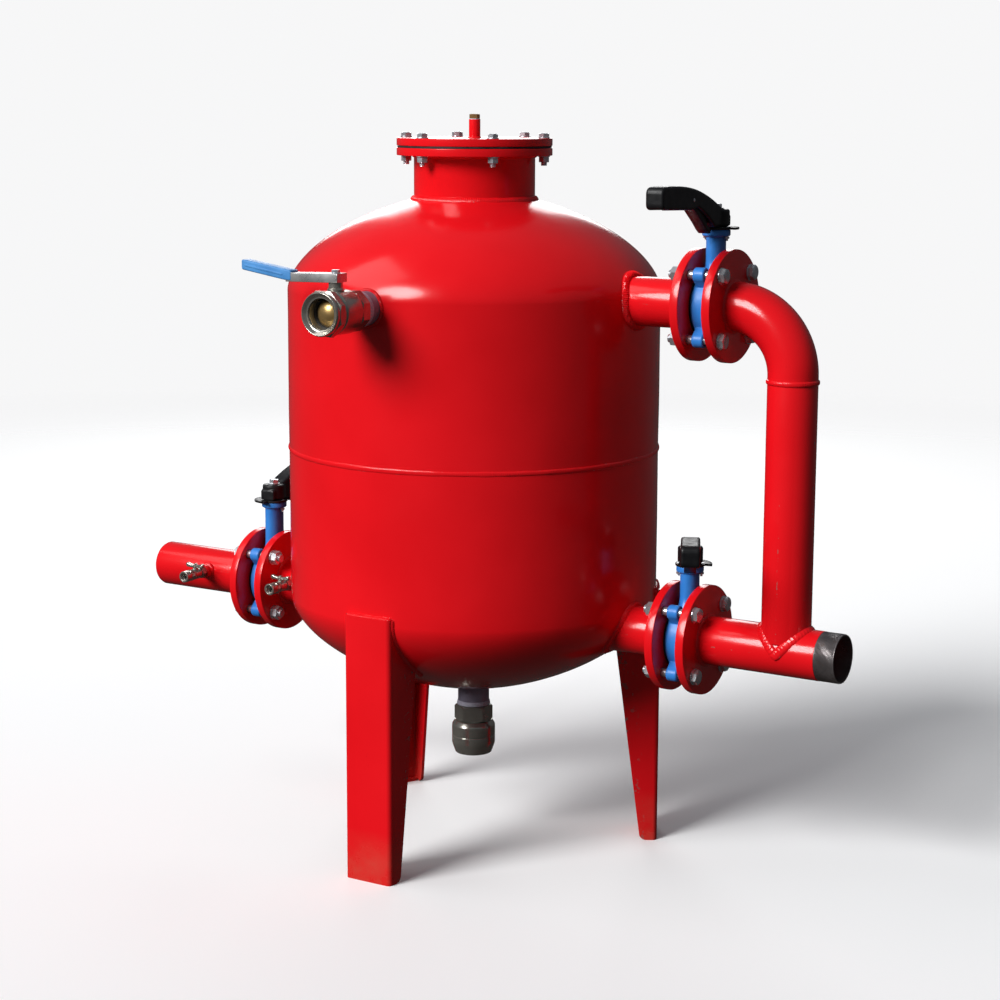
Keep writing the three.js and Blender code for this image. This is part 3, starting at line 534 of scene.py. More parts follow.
RED = red_paint()
BLUE = coating("blue_paint", "blue_paint", ((0.022, 0.17, 0.56), (0.035, 0.23, 0.66)), (22, 4, 0.3, 0.7),
               (60, 4, 0.28, 0.46), (260, 4, 0.6, 0.0006, 0.28),
               worn=(0.54, 0.60, 90, 4, 0.6, 0.6, (0.12, 0.34, 0.70)),
               roughness=0.36, Specular_IOR_Level=0.4, Coat_Weight=0.08, Coat_Roughness=0.2)
BLACK = coating("black_paint", "black_paint", ((0.004, 0.004, 0.005), (0.010, 0.010, 0.011)),
                (30, 4, 0.3, 0.7), (75, 4, 0.32, 0.5), (420, 3, 0.6, 0.0005, 0.22),
                worn=(0.55, 0.63, 70, 5, 0.62, 0.5, (0.07, 0.07, 0.07)),
                roughness=0.4, Specular_IOR_Level=0.3)
RUBBER = coating("rubber", "rubber", ((0.012, 0.012, 0.012), (0.03, 0.029, 0.028)), (45, 5, 0.35, 0.65),
                 (120, 4, 0.6, 0.85), (900, 3, 0.5, 0.0004, 0.4), roughness=0.72)
ZINC = metal("zinc_steel", (0.56, 0.58, 0.62), (0.70, 0.72, 0.75), 0.20, 0.36, 800, 0.08, 0.05,
             (0.40, 0.37, 0.33))
# Nickel in a dark tone: the plating's own grey-brown, darkened further as painted shade and painted dark
# reflections.
NICKEL = metal("nickel", (0.36, 0.34, 0.30), (0.48, 0.46, 0.41), 0.16, 0.28, 500, 0.10, 0.0,
               (0.27, 0.24, 0.19))
BRASS = metal("brass", (0.42, 0.27, 0.10), (0.58, 0.39, 0.16), 0.26, 0.40, 600, 0.1, 0.1)
STEEL = metal("stainless", (0.52, 0.52, 0.52), (0.66, 0.66, 0.65), 0.22, 0.36, 500, 0.1, 0.2)
THREAD = cut_thread()
# Grey zinc for the nipples with a lavender tint: the tint is painted sky light.
SKY_TINTED_ZINC = coating("dull_zinc", "zinc_steel", ((0.22, 0.20, 0.27), (0.36, 0.33, 0.43)),
                    (35, 5, 0.35, 0.65), (90, 4, 0.4, 0.6), (260, 4, 0.6, 0.0004, 0.3),
                    roughness=0.5, metallic=0.35)
TAPE = coating("thread_tape", "rubber", ((0.46, 0.45, 0.56), (0.70, 0.69, 0.80)), (300, 4, 0.3, 0.7),
               None, (500, 3, 0.6, 0.0006, 0.6), lay=(1, 1, 8), roughness=0.6)
SLEEVE = coating("sleeve_plastic", "blue_paint", ((0.055, 0.22, 0.52), (0.08, 0.29, 0.63)),
                 (40, 4, 0.3, 0.7), (150, 3, 0.38, 0.55), (500, 3, 0.5, 0.0005, 0.3),
                 roughness=0.45, Specular_IOR_Level=0.35)


# ---- pieces
def piece(name, shape, finish, nodes=(), body="vessel", sharp=38, matrix=None):
    """Makes a Blender object of a shape, gives it its finish and lets it ride on its body."""
    if matrix is not None:
        shape = shape.placed(matrix)
    mesh = bpy.data.meshes.new(name)
    mesh.from_pydata([tuple(p) for p in shape.points * 0.001], [], shape.faces)
    bm = bmesh.new()
    bm.from_mesh(mesh)
    bmesh.ops.remove_doubles(bm, verts=bm.verts, dist=2e-6)
    bmesh.ops.dissolve_degenerate(bm, edges=bm.edges, dist=1e-6)
    bmesh.ops.recalc_face_normals(bm, faces=bm.faces)
    bm.to_mesh(mesh)
    bm.free()
    mesh.shade_smooth()
    mesh.set_sharp_from_angle(angle=math.radians(sharp))
    mesh.materials.append(finish.material)
    obj = shown(name, mesh)
    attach(obj, body)
    if nodes:
        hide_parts(*([nodes] if isinstance(nodes, str) else nodes))
    return obj


# ---- vessel
def head_curve(radius, height, tangent, up, stop, count=44):
    """Dished head from the tangent line up to the radius stop."""
    out = []
    last = math.acos((stop / radius) ** (HEAD_EXPONENT / 2))
    for t in np.linspace(0, last, count):
        r = radius * math.cos(t) ** (2 / HEAD_EXPONENT)
        out.append((r, tangent + up * height * math.sin(t) ** (2 / HEAD_EXPONENT)))
    return out


def shell_radius(z):
    """Outside radius of the vessel at a height."""
    past = max(z - TOP_TANGENT_Z, BOTTOM_TANGENT_Z - z, 0) / HEAD_HEIGHT
    return SHELL_RADIUS * max(0, 1 - past ** HEAD_EXPONENT) ** (1 / HEAD_EXPONENT)


def rolled_waves(points):
    """Slow hand-made unevenness of the plate, under a millimetre."""
    out = points.copy()
    for p in out:
        drift = 0.7 * noise.noise(Vector(p) * 0.006) + 0.25 * noise.noise(Vector(p) * 0.02)
        r = math.hypot(p[0], p[1])
        if r > 1:
            p[:2] *= 1 + drift * 0.9 / SHELL_RADIUS
    return out


def shell_half(tangent, seam, up, stop):
    straight = [(SHELL_RADIUS, z) for z in np.linspace(seam, tangent, 16)[:-1]]
    outer = [(SHELL_RADIUS - 1.6, seam)] + [(SHELL_RADIUS, seam + up * 1.6)] + straight[1:]
    outer += head_curve(SHELL_RADIUS, HEAD_HEIGHT, tangent, up, stop)
    inner_radius = SHELL_RADIUS - SHELL_WALL
    inner = head_curve(inner_radius, HEAD_HEIGHT - SHELL_WALL, tangent, up, stop, 20)[::-1]
    inner += [(inner_radius, seam)]
    return revolve(outer + inner, 224).bent(rolled_waves)


TANK = shift(TANK_X, TANK_Y, 0)


def build_shells():
    upper = shell_half(TOP_TANGENT_Z, SEAM_Z, 1, NECK_RADIUS - 2)
    piece("upper_shell_skin", upper, RED, "upper_shell", matrix=TANK)
    lower = shell_half(BOTTOM_TANGENT_Z, SEAM_Z - 0.3, -1, SMALL_PIPE_RADIUS - 1)
    piece("lower_shell_skin", lower, RED, matrix=TANK)
    nipple_foot = span("lower_shell")[0][2]
    crown = BOTTOM_TANGENT_Z - HEAD_HEIGHT
    nipple = tube(SMALL_PIPE_RADIUS, SMALL_PIPE_BORE, nipple_foot, crown + 6)
    bead = ring_weld(SMALL_PIPE_RADIUS + 1, crown, -1, 9, 3, seed=3)
    piece("drain_nipple_pipe", nipple, SKY_TINTED_ZINC, "lower_shell", matrix=TANK)
    piece("drain_nipple_weld", bead, RED, matrix=TANK)
    girth = ring_weld(SHELL_RADIUS + 0.1, SEAM_Z, 0, 9, 1.7, seed=5)
    piece("girth_weld", girth, RED, matrix=TANK)


LEG_CORNER = 9


def leg_section(z, reach):
    """U section of a folded leg at one height: out round the plate, back inside it."""
    half = LEG_WIDTH / 2
    limit = shell_radius(z)
    inner_edge = LEG_RADIUS - reach
    if z > BOTTOM_TANGENT_Z - HEAD_HEIGHT + 4:
        inner_edge = max(inner_edge, math.sqrt(max(limit ** 2 - (half - 3) ** 2, 0)) - 0.5)
    inner_edge = min(inner_edge, LEG_RADIUS - LEG_PLATE - 1)

    def fold(side, radius, first, last):
        """One rounded fold, from the angle first to last in quarter turns."""
        for quarter in np.linspace(first, last, 7):
            a = quarter * math.pi / 2
            y = side * (half - LEG_CORNER) + radius * math.sin(a)
            yield LEG_RADIUS - LEG_CORNER + radius * math.cos(a), y

    bend = LEG_CORNER - LEG_PLATE
    outer = [(inner_edge, -half), *fold(-1, LEG_CORNER, -1, 0), *fold(1, LEG_CORNER, 0, 1),
             (inner_edge, half)]
    inner = [(inner_edge, half - LEG_PLATE), *fold(1, bend, 1, 0), *fold(-1, bend, 0, -1),
             (inner_edge, -half + LEG_PLATE)]
    return [(x, y, z) for x, y in outer + inner]


LEG_FOOT_DEPTH = 33
LEG_UPPER_DEPTH = 86
LEG_UPPER_Z = 400
LEG_TOE_CUT = 12                    # rounded corner of each web at the floor


def leg_reach(z):
    taper = LEG_FOOT_DEPTH + (LEG_UPPER_DEPTH - LEG_FOOT_DEPTH) * z / LEG_UPPER_Z
    rise = max(0, LEG_TOE_CUT - z)
    return taper - LEG_TOE_CUT + math.sqrt(LEG_TOE_CUT ** 2 - rise ** 2)


def build_legs():
    for name in ("front_leg", "right_leg", "rear_leg"):
        centre = middle(name)
        away = math.atan2(centre[1] - TANK_Y, centre[0] - TANK_X)
        snapped = round(math.degrees(away) / 30) * 30
        turn = turned_by(TANK, math.radians(snapped))
        top = span(name)[1][2]
        heights = [*np.linspace(0, LEG_TOE_CUT, 8)[:-1], *np.linspace(LEG_TOE_CUT, top - 1.2, 66), top]
        channel = grid(np.array([leg_section(z, leg_reach(z)) for z in heights]), capped=True)
        depth = LEG_RADIUS - leg_reach(0)
        foot = block((depth, -LEG_WIDTH / 2 + 5, 0), (LEG_RADIUS - 4, LEG_WIDTH / 2 - 5, LEG_PLATE))
        piece(f"{name}_channel", channel + foot, RED, name, matrix=turn)
        piece(f"{name}_welds", leg_welds(top), RED, matrix=turn)


def leg_welds(top):
    """Beads where the webs and the plate's top edge meet the vessel."""
    def from_vessel(p):
        out = p.copy()
        out[:, 2] = np.where(p[:, 2] < BOTTOM_TANGENT_Z, p[:, 2] - BOTTOM_TANGENT_Z, 0)
        return out
    beads = []
    for side in (-1, 1):
        y = side * (LEG_WIDTH / 2 + 0.5)
        points = []
        for z in np.linspace(372, top, 30):
            r = shell_radius(z)
            points.append((math.sqrt(max(r * r - y * y, 0)) + 1.0, y, z))
        beads.append(weld_bead(points, lambda p, s=side: from_vessel(p) * 0.002 + np.array([0, s, 0]),
                               9, 2.6, closed=False, seed=side + 4))
    span_y = np.linspace(-LEG_WIDTH / 2 + 2, LEG_WIDTH / 2 - 2, 24)
    edge = [(math.sqrt(SHELL_RADIUS ** 2 - y * y) + 3.2, y, top - 0.5) for y in span_y]
    tilted = weld_bead(edge, lambda p: np.tile([0.6, 0, 1.0], (len(p), 1)), 11, 3.2, closed=False, seed=9)
    return beads[0] + beads[1] + tilted


# ---- bolts
def washer(radius, bore, low, thickness):
    return tube(radius, bore, low, low + thickness, 48, 0.3, 2)


def bolt_set(size, grip, tail):
    """Bolt, washers and nut along Z: the head stands on z = 0 and the pack lies below it."""
    shank = rod(size["radius"] - 0.1, -grip - 2, 4, 32, 0.2)
    head_top = size["washer"] + size["head"]
    head = hexagon(size["flats"], size["washer"], head_top, chamfers=(False, True))
    dish = rod(size["flats"] * 0.36, head_top - 0.5, head_top + 0.35, 36, 0.3)
    nut_top = -grip - size["washer"]
    nut = hexagon(size["flats"], nut_top - size["nut"], nut_top, bore=size["radius"] - 0.4)
    end = thread(size["radius"], size["pitch"], -grip - tail, -grip - 1, segments=32)
    whole = shank + head + dish + nut + end
    for foot in (0, nut_top):
        whole += washer(size["flats"] * 0.62, size["radius"] - 0.2, foot, size["washer"])
    return whole


M12 = {"radius": 6, "flats": 18, "head": 7.2, "nut": 10, "washer": 1.8, "pitch": 1.75}
M16 = {"radius": 8, "flats": 24, "head": 9.6, "nut": 13, "washer": 2.4, "pitch": 2}


# ---- hatch
def build_hatch():
    neck_low, neck_high = span("hatch_neck")
    lid_low, lid_high = span("hatch_lid")
    lid_top = lid_low[2] + HATCH_PLATE
    low = neck_high[2] - HATCH_PLATE
    places = []
    for i in range(6):
        centre = middle(f"hatch_bolt_{i + 1}")
        places.append((centre[0] - TANK_X, centre[1] - TANK_Y))
    holes = [rod(6.8, low - 6, lid_top + 6, 24).placed(shift(x, y, 0)) for x, y in places]
    profile = [(NECK_BORE, neck_low[2]), (NECK_RADIUS, neck_low[2]), (NECK_RADIUS, low),
               (HATCH_RADIUS, low), (HATCH_RADIUS, neck_high[2]), (NECK_BORE, neck_high[2])]
    neck = boolean(revolve(profile, 144, 1.0), holes)
    sag = 1 - (NECK_RADIUS / SHELL_RADIUS) ** HEAD_EXPONENT
    foot_z = TOP_TANGENT_Z + HEAD_HEIGHT * sag ** (1 / HEAD_EXPONENT)
    neck += ring_weld(NECK_RADIUS + 1.5, foot_z + 1, 0.8, 13, 4.0, seed=12)
    neck += ring_weld(NECK_RADIUS + 1, low - 1, -1, 8, 2.6, seed=14)
    piece("hatch_neck_flange", neck, RED, "hatch_neck", matrix=TANK)

    sheet = tube(HATCH_RADIUS - 1.5, NECK_BORE, neck_high[2] + 0.1, lid_low[2] - 0.1, 144, 0.8)
    gasket = boolean(sheet, holes).bent(gasket_edge)
    piece("hatch_gasket_ring", gasket, RUBBER, "hatch_gasket", matrix=TANK)

    vent_top = lid_high[2]
    lid = boolean(tube(HATCH_RADIUS, 9, lid_low[2], lid_top, 144, 1.2), holes)
    lid += tube(10.65, 8, lid_top - 2, vent_top, 48)
    lid += ring_weld(11, lid_top, 1, 6, 2.2, seed=18)
    piece("hatch_lid_plate", lid, RED, "hatch_lid", matrix=TANK)
    plug = hexagon(17, vent_top + 0.6, vent_top + 9.6)
    plug += thread(8.6, 1.8, vent_top - 12, vent_top + 1, segments=32)
    piece("vent_plug_hexagon", plug, BRASS, "vent_plug", matrix=TANK)
    wrap = ((8.4, -0.5), (10.4, -0.3), (9.9, 0.9), (8.4, 1))
    tape = revolve([(r, vent_top + z) for r, z in wrap], 40, 0.3)
    piece("vent_thread_tape", tape, TAPE, matrix=TANK)

    grip = lid_top - low
    for i, (x, y) in enumerate(places):
        where = turned_by(TANK @ shift(x, y, lid_top), random.uniform(0, 1))
        piece(f"hatch_bolt_set_{i + 1}", bolt_set(M12, grip, 18), ZINC, f"hatch_bolt_{i + 1}", matrix=where)


def gasket_edge(points):
    """The compressed rim squeezes out unevenly."""
    out = points.copy()
    for p in out:
        r = math.hypot(p[0], p[1])
        if r > HATCH_RADIUS - 5:
            p[:2] *= 1 + 1.1 * noise.noise(Vector(p) * 0.04) / HATCH_RADIUS
    return out


# ---- pipework
def flange_bolt_places():
    return [(FLANGE_BOLT_CIRCLE * math.cos(a), FLANGE_BOLT_CIRCLE * math.sin(a))
            for a in (math.radians(45 + 90 * k) for k in range(4))]


def flange(low, high):
    """A flange plate along Z with its four holes."""
    hole = rod(9, low - 5, high + 5, 24)
    holes = [hole.placed(shift(x, y, 0)) for x, y in flange_bolt_places()]
    return boolean(tube(FLANGE_RADIUS, PIPE_BORE, low, high, 144, 1.2), holes)


def welded_flange(seed):
    """A flange that starts at z = 0, with the bead behind it."""
    bead = ring_weld(PIPE_RADIUS + 1, FLANGE_THICKNESS, 1, 9, 3, seed=seed)
    return flange(0, FLANGE_THICKNESS) + bead


def along_x(x, z, side=1):
    """Local +Z lies along the pipe axis, pointing to +X or -X, and local +X is up."""
    return pose((x, TANK_Y, z), (side, 0, 0), (0, 0, 1))


def nozzle_weld(axis_z, side, width, height, seed):
    """Bead where a pipe along X enters the vessel, in tank coordinates."""
    points = []
    for a in full_turn(200):
        y = (PIPE_RADIUS + 1.5) * math.cos(a)
        z = axis_z + (PIPE_RADIUS + 1.5) * math.sin(a)
        r = shell_radius(z) + 0.5
        points.append((side * math.sqrt(r * r - y * y), y, z))

    def outward(p):
        around = unit((p - np.array([0, 0, axis_z])) * np.array([0, 1, 1]))
        return around + p * np.array([1, 1, 0]) / SHELL_RADIUS
    return weld_bead(points, outward, width, height, seed=seed)


def build_nozzles():
    nozzles = (("filter", FILTER_Z, 1, 21, 17, 8), ("backwash", LOWER_Z, 1, 23, 14, 5),
               ("outlet", LOWER_Z, -1, 25, 14, 5))
    for name, axis_z, side, seed, width, height in nozzles:
        low, high = span(f"{name}_nozzle")
        length = high[0] - low[0]
        start = low[0] if side > 0 else high[0]
        body = tube(PIPE_RADIUS, PIPE_BORE, 0, length - 2) + flange(length - FLANGE_THICKNESS, length)
        body += ring_weld(PIPE_RADIUS + 1, length - FLANGE_THICKNESS, -1, 9, 3, seed=seed)
        piece(f"{name}_nozzle_pipe", body, RED, f"{name}_nozzle", matrix=along_x(start, axis_z, side))
        piece(f"{name}_nozzle_weld", nozzle_weld(axis_z, side, width, height, seed + 1), RED, matrix=TANK)


def bend(radius, bore, bend_radius, tail):
    """A quarter bend in X and Z: in along +X at the origin, out down -Z, with a straight tail."""
    ring = full_turn(64)
    rows = []

    def add(r, angle, extra):
        place = np.array([bend_radius * math.sin(angle), 0, -bend_radius * (1 - math.cos(angle)) - extra])
        out = np.array([math.sin(angle), 0, math.cos(angle)])
        rows.append([place + out * r * math.cos(t) + np.array([0, 1, 0]) * r * math.sin(t) for t in ring])

    for angle in np.linspace(0, math.pi / 2, 28):
        add(radius, angle, 0)
    add(radius, math.pi / 2, tail - 0.8)
    add(radius - 0.8, math.pi / 2, tail)
    add(bore, math.pi / 2, tail)
    for angle in np.linspace(math.pi / 2, 0, 28):
        add(bore, angle, 0)
    return grid(np.array(rows), wrap_u=True)


def saddle_weld(seed):
    """Bead round the riser's fish-mouthed foot, about the inlet pipe's axis."""
    points = []
    for a in full_turn(160):
        r = PIPE_RADIUS + 0.8
        y = r * math.sin(a)
        points.append((r * math.cos(a), y, math.sqrt(max(r * r - y * y, 0)) + 1.2))

    def outward(p):
        return np.stack([p[:, 0] * 1.0, p[:, 1] * 1.4, np.abs(p[:, 0]) + 12], 1)
    return weld_bead(points, outward, 17, 3.4, pitch=6.5, seed=seed)


def build_riser():
    start = span("filter_elbow")[0][0]
    inner = start + FLANGE_THICKNESS
    radius = RISER_X - inner
    weld_z = span("riser_pipe")[1][2]
    elbow = bend(PIPE_RADIUS, PIPE_BORE, radius, FILTER_Z - radius - weld_z)
    elbow = elbow.placed(shift(inner, TANK_Y, FILTER_Z))
    elbow += welded_flange(31).placed(along_x(start, FILTER_Z))
    piece("filter_elbow_bend", elbow, RED, "filter_elbow")
    riser = tube(PIPE_RADIUS, PIPE_BORE, LOWER_Z + 20, weld_z)
    saddle = rod(PIPE_RADIUS - 1, -80, 80, 96).placed(pose((0, 0, LOWER_Z), (1, 0, 0)))
    riser = boolean(riser, [saddle])
    riser += ring_weld(PIPE_RADIUS + 0.2, weld_z, 0, 9, 2.4, seed=33)
    riser += saddle_weld(35).placed(shift(0, 0, LOWER_Z))
    piece("riser_pipe_tube", riser, RED, "riser_pipe", matrix=shift(RISER_X, TANK_Y, 0))


THREAD_LENGTH = 38
PIPE_PITCH = 2.31                   # eleven threads to the inch


def build_inlet_pipe():
    low, high = span("inlet_pipe")
    length = high[0] - low[0]
    where = along_x(low[0], LOWER_Z)
    body = tube(PIPE_RADIUS, PIPE_BORE, 1, length - THREAD_LENGTH)
    body += welded_flange(41)
    piece("inlet_pipe_tube", body, RED, "inlet_pipe", matrix=where)
    band = thread(PIPE_RADIUS - 0.25, PIPE_PITCH, length - THREAD_LENGTH - 0.5, length, 1.1, 120, 6,
                  PIPE_BORE - 0.2)
    piece("inlet_thread", band, THREAD, matrix=where, sharp=60)


def cock_boss(x):
    """Welded socket on the front of a pipe for a gauge cock, in the row frame."""
    boss = tube(13.5, 8.7, PIPE_BORE, PIPE_RADIUS + 14, 48, 1)
    bead = ring_weld(14, PIPE_RADIUS + 0.5, 1, 7, 2.4, seed=int(abs(x)))
    return (boss + bead).placed(pose((x, TANK_Y, LOWER_Z + COCK_DROP), (0, -1, 0)))


def build_outlet_pipe():
    low, high = span("outlet_pipe")
    length = high[0] - low[0]
    where = along_x(high[0], LOWER_Z, -1)
    body = revolve([(PIPE_BORE, 1), (PIPE_RADIUS, 1), (PIPE_RADIUS, length - 4), (PIPE_RADIUS - 2.2, length),
                    (PIPE_BORE, length)], 96, 0.6)
    body += welded_flange(45)
    piece("outlet_pipe_tube", body, RED, "outlet_pipe", matrix=where)
    for name in ("stub_cock", "outlet_cock"):
        piece(f"{name}_boss", cock_boss(middle(f"{name}_body")[0]), RED)


def build_flange_bolts():
    grip = 2 * FLANGE_THICKNESS + VALVE_WIDTH
    for name, side in (("filter", 1), ("backwash", 1), ("outlet", -1)):
        centre = middle(f"{name}_valve_seat")
        for i in range(1, 5):
            _, y, z = middle(f"{name}_flange_bolt_{i}")
            where = pose((centre[0] + side * grip / 2, y, z), (side, 0, 0))
            where = turned_by(where, random.uniform(0, 1))
            bolt = bolt_set(M16, grip, 21)
            piece(f"{name}_bolt_set_{i}", bolt, ZINC, f"{name}_flange_bolt_{i}", matrix=where)


# ---- butterfly valves
RING_RADIUS = 64
SEAT_BORE = 39.6
SEAT_LIP_RADIUS = 57
DISC_RADIUS = 38.4
RIM_HALF = 15                       # the ring's rim is narrower than its faces
EAR_RADIUS = 13.6
EAR_HALF = 11
NECK_HALF_WIDTHS = (16.5, 21.5)     # along the flow and across it
TOP_PAD_RADIUS = 25
TOP_PAD_HEIGHT = 12
NOTCH_PLATE = 4
NOTCH_PLATE_RADIUS = 27
NOTCH_SECTOR_RADIUS = 40
LEVER_WIDTH = 34
LEVER_HUB_RADIUS = 23
LEVER_HUB_HEIGHT = 30
TRIGGER_WIDTH = 22


def valve_casting(neck_top):
    """Cast ring, ears, neck and top pad about the valve's centre, flow along X."""
    half = VALVE_WIDTH / 2 - 1.8
    side = [(47.2, half), (54, half), (57.5, half - 2.5), (58, RIM_HALF + 2), (RING_RADIUS - 2.5, RIM_HALF),
            (RING_RADIUS, RIM_HALF - 3)]
    whole = revolve([(r, -x) for r, x in side] + side[::-1], 112, 1.2).placed(pose(axis=(1, 0, 0)))
    for y, z in flange_bolt_places():
        for share in (0.84, 0.92, 1):
            ear = rod(EAR_RADIUS, -EAR_HALF, EAR_HALF, 40, 2)
            whole += ear.placed(pose((0, y * share, z * share), (1, 0, 0)))
    rows = []
    angles = full_turn(48)
    for height in np.linspace(48, neck_top + 2, 16):
        swell = max(0, 1 - (height - 48) / 34) ** 2
        along, across = NECK_HALF_WIDTHS
        rows.append(circle(1, angles, height) * (along + 3 * swell, across + 14 * swell, 1))
    whole += grid(np.array(rows), capped=True)
    whole += rod(TOP_PAD_RADIUS, neck_top, neck_top + TOP_PAD_HEIGHT, 72, 1.5)
    body = cast(whole, 1.3, 4)
    holes = [rod(9, -40, 40, 24).placed(pose((0, y, z), (1, 0, 0))) for y, z in flange_bolt_places()]
    holes.append(rod(7, 30, neck_top + 30, 32))
    return boolean(body, holes)


def notch_plate(first, last):
    """A disc with a wider sector over the lever's travel, notched every nine degrees."""
    margin = 8
    start, sweep = math.radians(first - margin), math.radians(last - first + 2 * margin)
    outline = []
    for k in range(141):
        a = start + sweep * k / 140
        notch = abs((math.degrees(a) - first + 4.5) % 9 - 4.5) < 1.7
        radius = NOTCH_SECTOR_RADIUS - (4 if notch else 0)
        outline.append((radius * math.cos(a), radius * math.sin(a)))
    for k in range(60):
        a = start + sweep + (TAU - sweep) * k / 59
        outline.append((NOTCH_PLATE_RADIUS * math.cos(a), NOTCH_PLATE_RADIUS * math.sin(a)))
    sheet = plate(outline, NOTCH_PLATE, 0.4, 1).placed(Matrix.Rotation(-math.pi / 2, 4, "X"))
    return sheet.bent(lambda p: p * np.array([1, -1, 1]))


def curve(start, control, end, count=8):
    """Points of a quadratic curve, its start left out."""
    s, c, e = (np.array(p, float) for p in (start, control, end))
    shares = np.linspace(0, 1, count + 1)[1:]
    return [tuple((1 - t) ** 2 * s + 2 * t * (1 - t) * c + t * t * e) for t in shares]


def lever_outline():
    points = [(-24, 0), (38, 0)]
    points += curve((38, 0), (70, 26), (104, 37))
    points += curve((104, 37), (118, 32), (134, 33))
    points += [(226, 36)] + curve((226, 36), (234, 38), (234, 46), 4)
    points += [(234, 64)] + curve((234, 64), (233, 74), (222, 75), 4)
    points += curve((222, 75), (150, 77), (104, 67))
    points += curve((104, 67), (60, 57), (16, 36))
    points += curve((16, 36), (-20, 24), (-24, 18))
    return points


def lever_casting():
    """Cast lever: hub, swan neck and hollow grip, x out along the lever."""
    bar = plate(lever_outline(), LEVER_WIDTH, 5, 4)
    hub = rod(LEVER_HUB_RADIUS, 0, LEVER_HUB_HEIGHT, 56, 2.5)
    hollow = [(46, -5), (50, 10), (62, 28), (100, 56), (124, 63), (230, 65), (230, 20), (120, 20), (70, -5)]
    channel = plate(hollow, LEVER_WIDTH - 10, 0)
    bore = rod(7, -5, 60, 32)
    thumb_rest = plate([(112, 66), (128, 74), (150, 76), (150, 90), (112, 90)], 13, 0)
    whole = boolean(cast(bar + hub, 1.3, 4), [channel, bore, thumb_rest])
    pin = rod(3, -LEVER_WIDTH / 2 - 0.8, LEVER_WIDTH / 2 + 0.8, 24).placed(pose((120, 0, 50), (0, 1, 0)))
    return whole, pin


def trigger_casting():
    outline = rounded([(226, 38), (226, 48), (132, 49), (124, 57), (114, 55), (100, 46), (64, 18), (56, 4),
                       (43, -2), (43, -9), (48, -11), (58, -5), (76, 10), (108, 33), (134, 36)], 4)
    return plate(outline, TRIGGER_WIDTH, 1.6, 3)


def stem_screw(height):
    head = hexagon(17, height + 2, height + 9, chamfers=(False, True))
    return head + washer(12, 4, height, 2)


def pad_screws(neck_top, lever_angle):
    """Two flush screws that hold the notch plate, with nuts under the pad."""
    whole = None
    for side in (90, -90):
        a = math.radians(lever_angle + side)
        top = neck_top + TOP_PAD_HEIGHT + NOTCH_PLATE
        one = rod(4.2, top - 0.5, top + 0.6, 28, 0.3) + hexagon(8, neck_top - 4.4, neck_top - 0.3)
        one += thread(2.5, 0.8, neck_top - 8, neck_top - 0.5, segments=20)
        one = one.placed(shift(20.5 * math.cos(a), 20.5 * math.sin(a), 0))
        whole = one if whole is None else whole + one
    return whole


def valve_seat():
    half = VALVE_WIDTH / 2 - 0.2
    inner = half - 1.4
    profile = [(SEAT_BORE, -half), (SEAT_LIP_RADIUS, -half), (SEAT_LIP_RADIUS, -inner), (47, -inner),
               (47, inner), (SEAT_LIP_RADIUS, inner), (SEAT_LIP_RADIUS, half), (SEAT_BORE, half)]
    return revolve(profile, 96, 0.5, 2).placed(pose(axis=(1, 0, 0)))


def valve_disc(stem_top):
    """Disc with a swelling hub and a stem up through the neck; its face looks along X."""
    half = [(0.001, 7), (12, 6.5), (30, 3.5), (DISC_RADIUS - 1, 3), (DISC_RADIUS, 1.5)]
    profile = [(r, -z) for r, z in half] + half[::-1]
    disc = grid(spun(profile, 72), capped=True).placed(pose(axis=(1, 0, 0)))
    hub = rod(9, -DISC_RADIUS + 4, DISC_RADIUS - 4, 40, 2)
    return disc + hub + rod(6.3, -50, stem_top, 40)


def build_butterfly_valves():
    travel = {joint["child"]: joint["range_deg"] for joint in frame["record"]["behaviour"]["joints"]
              if joint["type"] == "hinge"}
    castings = {}
    lever, pin = lever_casting()
    trigger = trigger_casting()
    for name in ("filter", "backwash", "outlet"):
        centre = middle(f"{name}_valve_seat")
        where = Matrix.Translation(Vector(centre))
        pad_top = span(f"{name}_valve_body")[1][2] - centre[2] - NOTCH_PLATE
        neck_top = round(pad_top - TOP_PAD_HEIGHT, 1)
        foot = pad_top + NOTCH_PLATE + 1
        tip = middle(f"{name}_valve_trigger") - centre
        angle = math.degrees(math.atan2(tip[1], tip[0]))
        low, high = travel[f"{name}_lever"]
        if neck_top not in castings:
            castings[neck_top] = valve_casting(neck_top)
        piece(f"{name}_valve_casting", castings[neck_top], BLUE, f"{name}_valve_body", matrix=where)
        plate_place = where @ shift(0, 0, pad_top + NOTCH_PLATE / 2)
        piece(f"{name}_notch_plate", notch_plate(angle + low, angle + high), BLACK, matrix=plate_place)
        piece(f"{name}_pad_screws", pad_screws(neck_top, angle), ZINC, matrix=where)
        piece(f"{name}_valve_liner", valve_seat(), RUBBER, f"{name}_valve_seat", matrix=where)
        turn = turned_by(where, math.radians(angle))
        cross = turned_by(turn, math.pi / 2)
        body = f"{name}_lever"
        disc = valve_disc(foot + 27)
        piece(f"{name}_disc_and_stem", disc, STEEL, f"{name}_valve_disc", body, matrix=cross)
        lift = turn @ shift(0, 0, foot)
        piece(f"{name}_lever_casting", lever, BLACK, f"{name}_valve_lever", body, matrix=lift)
        piece(f"{name}_lever_pin", pin, ZINC, (), body, matrix=lift)
        piece(f"{name}_stem_screw", stem_screw(LEVER_HUB_HEIGHT + 0.3), ZINC, (), body, matrix=lift)
        body = f"{name}_trigger"
        piece(f"{name}_trigger_pawl", trigger, BLACK, f"{name}_valve_trigger", body, matrix=lift)


# ---- flush ball valve
FLUSH_BACK = 386                    # back face of the body, from the vessel axis
BALL_AT = 440
FLUSH_FRONT = 490
FLUSH_LEVER_RISE = 57               # the lever's plane above the valve's axis
FLUSH_LEVER_WIDTH = 30


